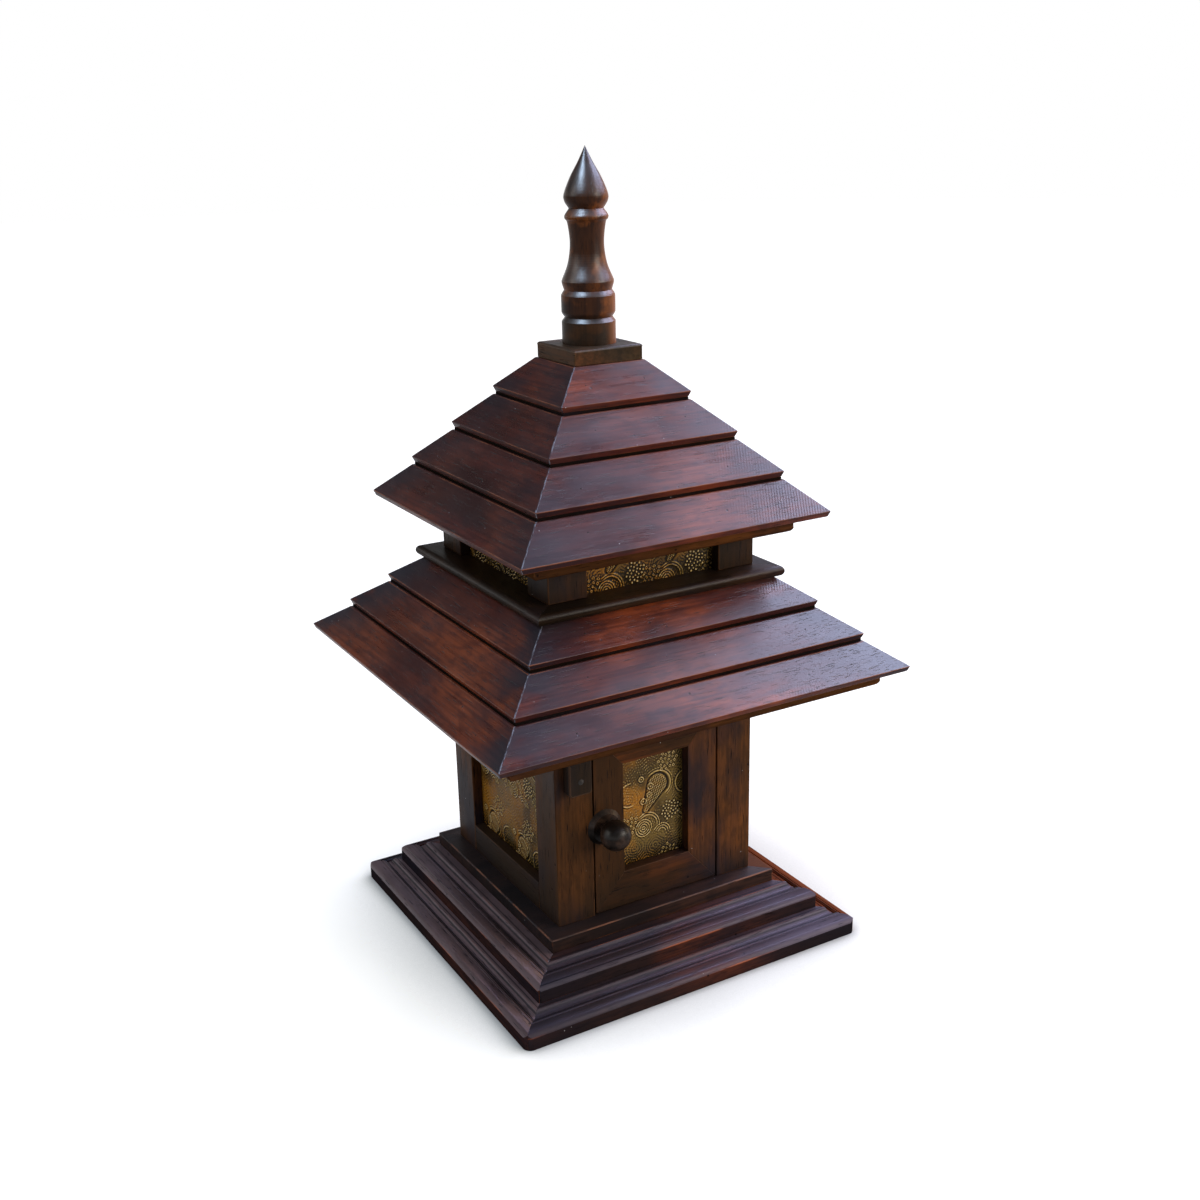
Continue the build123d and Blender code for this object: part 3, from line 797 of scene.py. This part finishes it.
def turned_teak(name, axis, dark, middle, bright, waxed, painted_rim_light=None, nail_holes=()):
    """Teak turned about Y or Z, in three stains, with a fourth painted on its right as rim light.
    """
    finish = Finish(name)
    place = finish.place()
    x = finish.add("ShaderNodeSeparateXYZ", None, {"Vector": place})
    along = x.other(axis)

    def drawn_out(across, with_axis):
        return (across, with_axis, across) if axis == "Y" else (across, across, with_axis)

    fibre = finish.noise(place, drawn_out(420, 14), detail=4)
    figure = finish.noise(place, drawn_out(45, 12), detail=3, distortion=0.5)
    pores = finish.noise(place, drawn_out(1200, 80), detail=1).ramp(0.64, 0.74)
    rings = (along * (2 * math.pi / LATHE_PITCH)).math("SINE")
    clouds = finish.noise(place, (60, 60, 60), detail=4)
    upward = finish.kept("upward")
    stain = finish.mix(figure.ramp(0.36, 0.62), dark, middle)
    stain = finish.mix(clouds.ramp(0.46, 0.66), stain, bright)
    stain = finish.mix(fibre.ramp(0.55, 0.35) * 0.5, stain, dark)
    if painted_rim_light:
        foot = along.ramp(cap_top + 23 * MM, cap_top + 15 * MM)
        stain = finish.mix(foot * (clouds * 0.6 + 0.4), stain, OLIVE_DUST)
        # painted rim light: warm orange on the side that looks to the right
        stain = finish.mix(x.ramp(0.001, 0.015) * (clouds * 0.5 + 0.65), stain, painted_rim_light)
    holes = pores * 0.6
    for centre in nail_holes:
        between = {0: place, 1: centre}
        away = finish.add("ShaderNodeVectorMath", {"operation": "DISTANCE"}, between, "Value")
        holes = most(holes, away.ramp(1.25 * MM, 0.85 * MM))
    stain = finish.mix(holes, stain, PORE_AND_SHADE_BLACK)
    roughness = 0.29 + clouds * 0.12 + pores * 0.2
    height = fibre * 0.3 - holes * 0.8 + rings * 0.16
    normal = finish.bump(height, 0.3, 0.2 * MM)
    return finish.surface(0.06, upward, waxed, Base_Color=stain, Roughness=roughness, Normal=normal)


nail_holes = [(-0.0033, -0.0176, cap_top + 48.5 * MM), (-0.0030, -0.0130, cap_top + 95.5 * MM)]
finial_teak = turned_teak(
    "finial_teak", "Z", dark=(0.012, 0.006, 0.005), middle=(0.046, 0.017, 0.008),
    bright=(0.150, 0.046, 0.012), waxed=1.6, painted_rim_light=(0.175, 0.058, 0.018),
    nail_holes=nail_holes,
)
knob_teak = turned_teak(
    "knob_teak", "Y", dark=(0.006, 0.005, 0.004), middle=(0.018, 0.011, 0.008),
    bright=(0.050, 0.028, 0.019), waxed=0.45,
)
print("turned finishes made")

# %% The finial and the knob
finial_stand = lathe_frame((0, 0, cap_top), (0, 0, 1))
finial_outline = outline_of("finial", finial_stand)
bud_start = 90 * MM  # above the cap; the bud swells below its widest place
bud_swell = 1.4 * MM
widest = max((point for point in finial_outline if point.y > bud_start), key=lambda point: point.x)
under = finial_outline.index(widest)
belly = (finial_outline[under - 1] + widest) / 2 + Vector((bud_swell, 0))
finial_outline.insert(under, belly)
shape = turned_piece(eased(softened(finial_outline, 1.8 * MM)), finial_stand)
finished_piece("turned_finial", shape, "house", finial_teak, ["finial"])
print("the finial's outline has", len(finial_outline), "points")

knob_low, knob_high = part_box("door_knob")
door_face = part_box("door_stiles")[0].y
knob_middle = (knob_low + knob_high) / 2
knob_stand = lathe_frame((knob_middle.x, door_face, knob_middle.z), (0, -1, 0))
knob_outline = outline_of("door_knob", knob_stand)
shape = turned_piece(eased(softened(knob_outline, 0.6 * MM)), knob_stand)
finished_piece("turned_knob", shape, "door", knob_teak, ["door_knob"])
print("the knob's outline has", len(knob_outline), "points")

# %% [markdown]
# ## The turn button
#
# A block of wood on a nail keeps the door shut. It was cut from a strip, its corners were rubbed
# round and its front edges were chamfered. So the piece starts as a box of the joinery's size:
# first the four edges that run front to back are bevelled with several segments, then the rim of
# the front face.

# %% The turn button
button_low, button_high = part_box("turn_button")
button_size = button_high - button_low
button_middle = (button_high + button_low) / 2
shape = bmesh.new()
bmesh.ops.create_cube(
    shape, size=1.0, matrix=Matrix.Translation(button_middle) @ Matrix.Diagonal((*button_size, 1))
)
depth_edges = [edge for edge in shape.edges if abs(edge.verts[0].co.y - edge.verts[1].co.y) > MM]
bevelled(shape, depth_edges, 2.6 * MM, segments=5)
front = button_low.y + 0.01 * MM
front_rim = [edge for edge in shape.edges if all(vert.co.y < front for vert in edge.verts)]
rim = bevelled(shape, front_rim, 1.2 * MM, segments=3)
arris = shape.loops.layers.float.new("arris")
rim_wear = 0.6
for face in rim:
    mark(face, arris, rim_wear)
mark_upward(shape)
turn_button = finished_piece(
    "rubbed_turn_button", shape, "turn_button", button_teak, ["turn_button"]
)
turn_button.modifiers.new("even shading", "WEIGHTED_NORMAL").keep_sharp = True
print("the turn button is", [round(value / MM, 1) for value in button_size], "mm")

# %% [markdown]
# ## Old steel
#
# The nails were driven long ago, and their heads have gone brown, with a little darkened metal
# where they are rubbed. The finish mixes the two by a noise and is rougher where it is brown.

# %% The steel finish
def old_steel(name):
    finish = Finish(name)
    rust = finish.noise(finish.place(), (900, 900, 900), detail=4).ramp(0.32, 0.48)
    colour = finish.mix(rust, (0.045, 0.040, 0.036), (0.014, 0.010, 0.008))
    roughness = 0.35 + rust * 0.35
    normal = finish.bump(rust, 0.3, 0.1 * MM)
    metal = 0.9 - rust * 0.6
    return finish.surface(
        0.5, Base_Color=colour, Roughness=roughness, Metallic=metal, Normal=normal
    )


steel = old_steel("old_steel")
kept_nodes = (
    ("turn_button_nail", steel), ("door_hinge_pins", steel), ("door_glass_beads", wall_teak)
)
for node, material in kept_nodes:
    nodes[node].data.materials.clear()
    nodes[node].data.materials.append(material)
print("the nail, the hinge pins and the beads behind the door's glass have their finish")

# %% [markdown]
# ## Figured glass
#
# The panes are amber glass that was rolled, still soft, over an engraved roller. The roller left a
# raised pattern of flowers: stippled pear-shaped medallions with a smooth rim, flowers made of
# small domes, ringed blossoms, arcs and a combed ground. It repeats every turn of the roller.
#
# A bump in the material would only fake this, and it would go flat at a slant. Real relief is a
# fine grid whose points are pushed out by a height. Each motif is a small function of the distance
# to its centre: a ridge is a bell curve round a distance, and a flower is domes set round a spiral
# at the golden angle, as seeds are. The distances wrap round the repeat, so every pane can be cut
# from the same sheet.

# %% The roller's repeat
REPEAT = np.array([48.0, 75.0])  # millimetres of glass, across and up
GOLDEN_ANGLE = math.pi * (3 - math.sqrt(5))


def from_centre(u, v, centre):
    """How far each point lies across and up from the nearest repeat of a centre."""
    across = (u - centre[0] + REPEAT[0] / 2) % REPEAT[0] - REPEAT[0] / 2
    up = (v - centre[1] + REPEAT[1] / 2) % REPEAT[1] - REPEAT[1] / 2
    return across, up


def ridge(distance, width):
    return np.exp(-((distance / width) ** 2))


def rise(value, low, high):
    """A smooth step from 0 at low to 1 at high."""
    t = np.clip((value - low) / (high - low), 0, 1)
    return t * t * (3 - 2 * t)


def facing(across, up, degrees, spread):
    """1 for points that lie in a direction from the centre, falling to 0 at the spread."""
    turn = np.arctan2(up, across) - math.radians(degrees)
    off = np.abs((turn + math.pi) % (2 * math.pi) - math.pi)
    return 1 - rise(off, math.radians(spread) * 0.75, math.radians(spread))


def rings(u, v, centre, radii, width, degrees=90, spread=400):
    """Concentric raised rings, or arcs of them on one side."""
    across, up = from_centre(u, v, centre)
    distance = np.hypot(across, up)
    height = sum(ridge(distance - radius, width) for radius in radii)
    return height * facing(across, up, degrees, spread)


def spiral_domes(u, v, centre, count, spacing, size, hollow=False):
    """Domes, or little rings, set round a centre as the seeds of a flower are."""
    across, up = from_centre(u, v, centre)
    height = np.zeros_like(u)
    for seed in range(count):
        reach = spacing * math.sqrt(seed + 0.6)
        turn = seed * GOLDEN_ANGLE
        distance = np.hypot(across - reach * math.cos(turn), up - reach * math.sin(turn))
        grown = size * (0.75 + 0.35 * seed / count)
        dome = ridge(distance - grown, 0.45 * grown) if hollow else ridge(distance, grown)
        height = np.maximum(height, dome)
    return height


print("the repeat is", REPEAT, "mm")

# %% The motifs
MEDALLION_CENTRE = (33, 57)
FLOWER_CENTRE = (43.7, 34.7)
BERRIES = (((27, 57.5), 2.2), ((26, 51), 1.9), ((21.3, 46.5), 2.2), ((19.5, 64.5), 1.9))
SHELL_CENTRES = (
    (9, 50), (16, 37), (2, 63), (25, 70), (11, 74), (31, 9), (46, 20), (14, 11), (1, 24), (41, 50)
)


def medallion(u, v):
    """A stippled pear shape with a sunk outline and a raised rim, and how far its outline is."""
    across, up = from_centre(u, v, MEDALLION_CENTRE)
    tail = np.array([-9.5, -17.5])
    head_radius, narrowing = 9.2, 6.2
    share = np.clip((across * tail[0] + up * tail[1]) / tail.dot(tail), 0, 1)
    from_line = np.hypot(across - share * tail[0], up - share * tail[1])
    distance = from_line - (head_radius - narrowing * share)
    inside = rise(-distance, 0.8, 1.8)
    pitch = 1.9
    dots = np.cos(2 * math.pi * (across + up / 2) / pitch) * np.cos(2 * math.pi * up * 0.87 / pitch)
    bright_side = facing(across, up, 40, 100)
    return (
        inside * (0.08 + 0.60 * np.clip(dots, 0, 1))
        - 0.55 * ridge(distance + 0.2, 1.0)
        + 0.55 * ridge(distance - 1.9, 0.8) * bright_side
        + 0.30 * ridge(distance - 3.8, 0.6) * bright_side
    ), distance


def shells(u, v):
    """Combed shells that fill the ground: rings round whichever centre is nearest."""
    reach = np.minimum.reduce([np.hypot(*from_centre(u, v, centre)) for centre in SHELL_CENTRES])
    ripple = reach + 0.5 * np.sin(u / 1.3) * np.sin(v / 1.7)
    return np.cos(2 * math.pi * ripple / 2.2)


def feathers(u, v):
    """Rows of short strokes that curve over the ground, each row split into little domes."""
    row = np.sin(2 * math.pi * (v + 2.4 * np.sin(u / 5.3) + 1.3 * np.sin(u / 2.1 + v / 7)) / 2.3)
    stroke = np.cos(2 * math.pi * (u + 1.6 * np.sin(v / 3.7)) / 1.7)
    patchy = 0.5 + 0.5 * np.sin(u / 6.1 + 1) * np.sin(v / 7.3)
    return np.clip(row, 0, 1) * (0.6 + 0.4 * stroke) * (0.4 + 0.6 * patchy)


def roller_relief(u, v):
    """The height of the pattern in millimetres, at places on the glass in millimetres."""
    pear, from_pear = medallion(u, v)
    flower = np.hypot(*from_centre(u, v, FLOWER_CENTRE))
    ground = rise(from_pear, 2.0, 5.0) * rise(flower, 8.0, 9.5)
    height = pear + 0.05 * shells(u, v) * ground
    height += 0.17 * feathers(u, v) * ground
    for centre, radius in BERRIES:
        berry, dot = rings(u, v, centre, (radius,), 0.5), rings(u, v, centre, (0.2,), 0.8)
        height += 0.55 * berry + 0.5 * dot
    height += 0.90 * spiral_domes(u, v, FLOWER_CENTRE, 30, 1.42, 0.72)
    height += 0.45 * spiral_domes(u, v, (41.5, 74.5), 22, 1.75, 0.8, hollow=True)
    height += 0.36 * spiral_domes(u, v, (9, 30), 18, 1.9, 0.8, hollow=True)
    height += 0.50 * rings(u, v, (57.5, 54.5), (9.0,), 0.7, degrees=190, spread=120)
    height += 0.45 * rings(u, v, (21, 25.5), (1.2, 3.0, 4.8, 6.6), 0.5)
    height += 0.45 * rings(u, v, (24, 26.5), (8.6, 10.4), 0.5, degrees=60, spread=80)
    height += 0.40 * rings(u, v, (36.5, 18), (3.4, 5.4, 7.2), 0.5, degrees=80, spread=85)
    return height


def standing_out(u, v):
    """How far each point stands above the mean of four points round it, in millimetres."""
    step = 0.9
    moves = ((step, 0), (-step, 0), (0, step), (0, -step))
    around = sum(roller_relief(u + across, v + up) for across, up in moves)
    return roller_relief(u, v) - around / 4


one_repeat = np.mgrid[0:REPEAT[0]:200j, 0:REPEAT[1]:300j]
print("the pattern stands up to", round(float(roller_relief(*one_repeat).max()), 2), "mm")

# %% [markdown]
# A pane is a grid of small squares over its joinery node's face. The points move out by the
# pattern's height, except where the frame covers them, so that the glass still fits its groove.
# The border is extruded back by the pane's thickness and closed, which makes it solid. Two numbers
# are kept on each point for the finish: how far it stands out from its surroundings, less a painted
# shadow of the reveal along the right and a darkening towards the bottom, and how far left it is,
# where the glass is warmer.

# %% Rolling a pane
COVERED = 3.7  # millimetres of glass that the frame hides at a grooved edge
FULL_RELIEF = COVERED + 0.8


def rolled_pane(left, right, bottom, top, face, thickness, origin, spacing, covered_ends):
    """A solid pane in the front wall, in metres, with the relief on its front."""
    width, height = right - left, top - bottom
    shape = bmesh.new()
    columns, rows = round(width / MM / spacing), round(height / MM / spacing)
    stand = (
        Matrix.Translation(((left + right) / 2, face, (bottom + top) / 2))
        @ Matrix.Rotation(math.pi / 2, 4, "X") @ Matrix.Diagonal((width / 2, height / 2, 1, 1))
    )
    bmesh.ops.create_grid(shape, x_segments=columns, y_segments=rows, size=1.0, matrix=stand)
    border = [edge for edge in shape.edges if edge.is_boundary]
    back = bmesh.ops.extrude_edge_only(shape, edges=border)["geom"]
    bmesh.ops.translate(shape, verts=verts_in(back), vec=(0, thickness, 0))
    rim = [edge for edge in edges_in(back) if edge.is_boundary]
    bmesh.ops.edgeloop_fill(shape, edges=rim)

    places = np.array([vert.co for vert in shape.verts])
    u = (places[:, 0] - left) / MM
    v = (places[:, 2] - bottom) / MM
    open_glass = rise(np.minimum(u, width / MM - u), COVERED, FULL_RELIEF)
    if covered_ends:
        open_glass = open_glass * rise(np.minimum(v, height / MM - v), COVERED, FULL_RELIEF)
    u, v = u - COVERED + origin[0], v - COVERED + origin[1]
    relief = roller_relief(u, v) * open_glass
    # painted shadow of the frame's reveal along the right of the pane, and a darkening towards its
    # bottom
    reveal_shadow = 0.06 * rise(places[:, 0], right - 14 * MM, right - 4 * MM)
    shadow_and_darkening = np.maximum(reveal_shadow, 0.12 * rise(places[:, 2], bottom + 24 * MM, bottom + 5 * MM))
    crests_and_shadow = standing_out(u, v) * open_glass - shadow_and_darkening
    warmth = (right - places[:, 0]) / width
    kept_relief = shape.verts.layers.float.new("relief")
    kept_warmth = shape.verts.layers.float.new("warmth")
    for vert, lift, crest, warm in zip(shape.verts, relief, crests_and_shadow, warmth):
        if vert.co.y < face + 0.01 * MM:
            vert.co.y -= lift * MM
            vert[kept_relief] = crest
            vert[kept_warmth] = warm
    bmesh.ops.recalc_face_normals(shape, faces=shape.faces)
    return shape


print("panes can be rolled")

# %% [markdown]
# Amber glass lets a little light through, but the storey behind it is dark. The first number
# paints the pattern: the sunk parts are painted darkest, the raised parts are painted pale as
# glints, and a painted shadow along the right and a darkening towards the bottom lower it. The
# crests also shine most. A broad noise and the second number make the amber drift from orange
# to olive, as cheap rolled glass does.

# %% The glass finish
def amber_glass(name):
    finish = Finish(name)
    place = finish.place()
    relief, warmth = finish.kept("relief"), finish.kept("warmth")
    drift = finish.noise(place, (26, 26, 26), detail=3) + (warmth - 0.5) * 0.36
    streak = finish.noise(place, (34, 34, 26), detail=5, distortion=0.8)
    fine = finish.noise(place, (420, 420, 700), detail=3)
    amber = finish.mix(drift.ramp(0.38, 0.62), (0.205, 0.130, 0.034), (0.460, 0.190, 0.024))
    amber = finish.mix(streak.ramp(0.44, 0.66) * 0.80, amber, (0.050, 0.032, 0.010))
    amber = finish.mix(fine.ramp(0.46, 0.60) * 0.45, amber, (0.045, 0.024, 0.006))
    # painted glints: the raised parts are painted pale amber, and the highest cream
    amber = finish.mix(relief.ramp(0.04, 0.18) * 0.9, amber, (0.680, 0.450, 0.140))
    amber = finish.mix(relief.ramp(0.18, 0.50), amber, (0.950, 0.780, 0.430))
    # the sunk parts are painted near black
    amber = finish.mix(relief.ramp(-0.02, -0.13), amber, (0.018, 0.011, 0.004))
    normal = finish.bump(fine, 0.15, 0.2 * MM)
    clean = relief.ramp(0.0, 0.25) * 0.75 + 0.12
    return finish.surface(
        0.0, clean, 0.35, Base_Color=amber, Roughness=0.20 + fine * 0.14, Normal=normal, IOR=1.5,
        Transmission_Weight=0.10,
    )


glass = amber_glass("amber_glass")
print("the glass finish is made")

# %% Cutting the panes
def glazed(name, shape, body, replaced):
    piece = finished_piece(name, shape, body, glass, [replaced])
    print(f"{name}: {len(piece.data.polygons)} faces")


low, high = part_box("door_glass")
pane = rolled_pane(low.x, high.x, low.z, high.z, low.y, high.y - low.y, (0, 0), 0.3, True)
glazed("door_pane", pane, "door", "door_glass")

low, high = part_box("back_window_glass")
windows = (("right", 90, (4, 30)), ("back", 180, (21, 12)), ("left", 270, (14, 48)))
for side, turn, origin in windows:
    pane = rolled_pane(low.x, high.x, low.z, high.z, -high.y, high.y - low.y, origin, 0.4, True)
    bmesh.ops.rotate(pane, verts=pane.verts, matrix=Matrix.Rotation(math.radians(turn), 3, "Z"))
    glazed(f"{side}_window_pane", pane, "house", f"{side}_window_glass")

low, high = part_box("upper_glass_front_back")
strip_thickness = 3 * MM  # this node holds the front and the back strip, so its box can't tell
for pair, turn, origin in (("front_back", 0, (2, 30)), ("sides", 90, (25, 34))):
    pane = rolled_pane(low.x, high.x, low.z, high.z, low.y, strip_thickness, origin, 0.4, False)
    far = bmesh.ops.duplicate(pane, geom=everything(pane))
    bmesh.ops.rotate(pane, verts=verts_in(far["geom"]), matrix=Matrix.Rotation(math.pi, 3, "Z"))
    bmesh.ops.rotate(pane, verts=pane.verts, matrix=Matrix.Rotation(math.radians(turn), 3, "Z"))
    glazed(f"upper_panes_{pair}", pane, "house", f"upper_glass_{pair}")

# %% [markdown]
# ## Brads in the roofs
#
# Every roof board is held by a few small brads. Their heads are about a millimetre across and
# sit just proud of the slope. Working out each place on each slope would take a lot of sums.
# A ray is simpler: it drops from above onto the board and gives the point that it hits and which
# way the surface faces there. A flattened ball is set on it.

# %% Brad heads
brad_radius = 0.55 * MM
brad_flatness = 0.4
brad_places = (-0.72, 0.80)  # along a board, as shares of its half width
brad_inset = 11 * MM  # from the board's lower edge
chance = random.Random(11)
shape = bmesh.new()
tiers = [f"lower_roof_tier_{tier}" for tier in (1, 2, 3)]
tiers += [f"upper_roof_tier_{tier}" for tier in (1, 2, 3, 4)]
brads = 0
for tier in tiers:
    board = cleaned_copy(f"{tier}_front_back")
    surface = BVHTree.FromBMesh(board)
    board.free()
    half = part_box(f"{tier}_front_back")[1].x
    for turn in (0, 90, 180, 270):
        for share in brad_places:
            along = share * (half - 2 * brad_inset) + chance.uniform(-6, 6) * MM
            across = -half + brad_inset + chance.uniform(-3, 3) * MM
            point, normal, _, _ = surface.ray_cast(Vector((along, across, 1)), Vector((0, 0, -1)))
            flat = Matrix.Diagonal((brad_radius, brad_radius, brad_flatness * brad_radius, 1))
            stand = Matrix.Rotation(math.radians(turn), 4, "Z") @ lathe_frame(point, normal) @ flat
            bmesh.ops.create_icosphere(shape, subdivisions=2, radius=1.0, matrix=stand)
            brads += 1
finished_piece("roof_brads", shape, "house", steel)
print(brads, "brads")

# %% [markdown]
# ## Light and floor
#
# Dark glossy wood shows its surroundings more than its own colour, so it is the lamps that model
# it. The room is a dim, even grey. A big cool window hangs high on the right and slides along the
# sloping roofs. A cool skylight on the left gives the turned work its highlights and the left
# slopes their colour. A warm lamp in front keeps the walls under the eaves readable, two weak ones
# do the same for the two sides, and two small windows draw the mouldings of the base.
#
# The floor is white. A floor that is only white paint would need so much light to look white that
# the wood would wash out. So it glows a little, but only for rays that come straight from the
# camera, from a reflection or through glass. It still takes the object's shadow, and its glow
# fades near the object as a painted contact shadow.

# %% The lamps
def lamp(name, azimuth, height, distance, size, power, colour, aim=(0, 0, 0.25)):
    """A square lamp seen from the object at an azimuth from the right and a height, in degrees."""
    data = bpy.data.lights.new(name, "AREA")
    data.shape = "RECTANGLE"
    data.size, data.size_y = size
    data.energy = power
    data.color = colour
    light = into_scene(name, data)
    turn, lift = math.radians(azimuth), math.radians(height)
    away = Vector(
        (math.cos(turn) * math.cos(lift), math.sin(turn) * math.cos(lift), math.sin(lift))
    )
    light.location = Vector(aim) + away * distance
    light.rotation_euler = away.to_track_quat("Z", "Y").to_euler()


lamp("window", 1, 40, 2.2, (1.7, 1.1), 68, (0.64, 0.70, 1.0))
lamp("skylight", -162, 56, 2.2, (0.9, 0.9), 30, (0.60, 0.77, 1.0), aim=(0, 0, 0.4))
lamp("front_fill", -52, 16, 2.4, (1.4, 1.0), 36, (1.0, 0.92, 0.80))
lamp("side_fill", -8, 10, 2.6, (0.8, 0.6), 10, (1.0, 0.70, 0.42))
lamp("left_fill", 170, 22, 2.6, (1.4, 1.0), 8, (1.0, 0.96, 0.90))
lamp("far_window", 44, 31, 2.4, (0.7, 0.5), 4, (0.72, 0.70, 1.0))
lamp("front_window", -37, 38, 2.4, (0.5, 0.5), 5, (0.82, 0.74, 1.0))

# %% The room and the floor
def seen_directly(finish):
    """1 for rays from the camera, from a reflection or through glass, and 0 for the rest."""
    ray = finish.add("ShaderNodeLightPath", None, None, "Is Camera Ray")
    return most(ray, ray.other("Is Glossy Ray"), ray.other("Is Transmission Ray"))


room = Finish("room", bpy.data.worlds)
bpy.context.scene.world = room.material
plain_level = 0.24
ceiling_level = 0.06
overhead_level = 0.32
sky_colour = (0.50, 0.68, 1.0)
direction = room.add("ShaderNodeTexCoord", output="Generated")
steepness = room.add("ShaderNodeSeparateXYZ", None, {"Vector": direction}, "Z")
by_the_camera = room.add("ShaderNodeLightPath", None, None, "Is Camera Ray")
overhead = steepness.ramp(0.55, 0.85)
reflected = 1 - steepness.ramp(0.08, 0.26) * (1 - ceiling_level) + overhead * overhead_level
backdrop = most(by_the_camera, reflected)
strength = plain_level + seen_directly(room) * (backdrop - plain_level)
colour = room.mix(overhead * (1 - by_the_camera), (1, 1, 1), sky_colour)
background = room.add("ShaderNodeBackground", None, {"Color": colour, "Strength": strength})
room.add("ShaderNodeOutputWorld", None, {"Surface": background}, None)

floor_finish = Finish("white_floor")
from_middle = floor_finish.add(
    "ShaderNodeVectorMath", {"operation": "LENGTH"}, {0: floor_finish.place()}, "Value"
)
near_glow, far_glow = 0.86, 1.0
painted_shadow_depth = 3.4  # how fast the glow fades near the object
# the glow fades where ambient occlusion finds the object near: a painted contact shadow
painted_contact_shadow = floor_finish.add("ShaderNodeAmbientOcclusion", {"samples": 16}, {"Distance": 0.14}, "AO")
far_share = from_middle.ramp(0.35, 2.0)
glow = (near_glow + far_share * (far_glow - near_glow)) * (painted_contact_shadow ** painted_shadow_depth)
paint = floor_finish.add("ShaderNodeBsdfDiffuse", None, {"Color": (0.375, 0.36, 0.325)})
lit = floor_finish.add("ShaderNodeEmission", None, {"Strength": glow * seen_directly(floor_finish)})
both = floor_finish.add("ShaderNodeAddShader", None, {0: paint, 1: lit})
floor_finish.add("ShaderNodeOutputMaterial", None, {"Surface": both}, None)

shape = bmesh.new()
floor_radius = 9.0
bmesh.ops.create_circle(shape, cap_ends=True, segments=64, radius=floor_radius)
floor_mesh = bpy.data.meshes.new("floor")
shape.to_mesh(floor_mesh)
shape.free()
floor_mesh.materials.append(floor_finish.material)
floor = into_scene("floor", floor_mesh)
floor.location.z = -0.1 * MM

bpy.context.scene.view_settings.view_transform = "Standard"
print("the room is", plain_level, "and the backdrop is white")
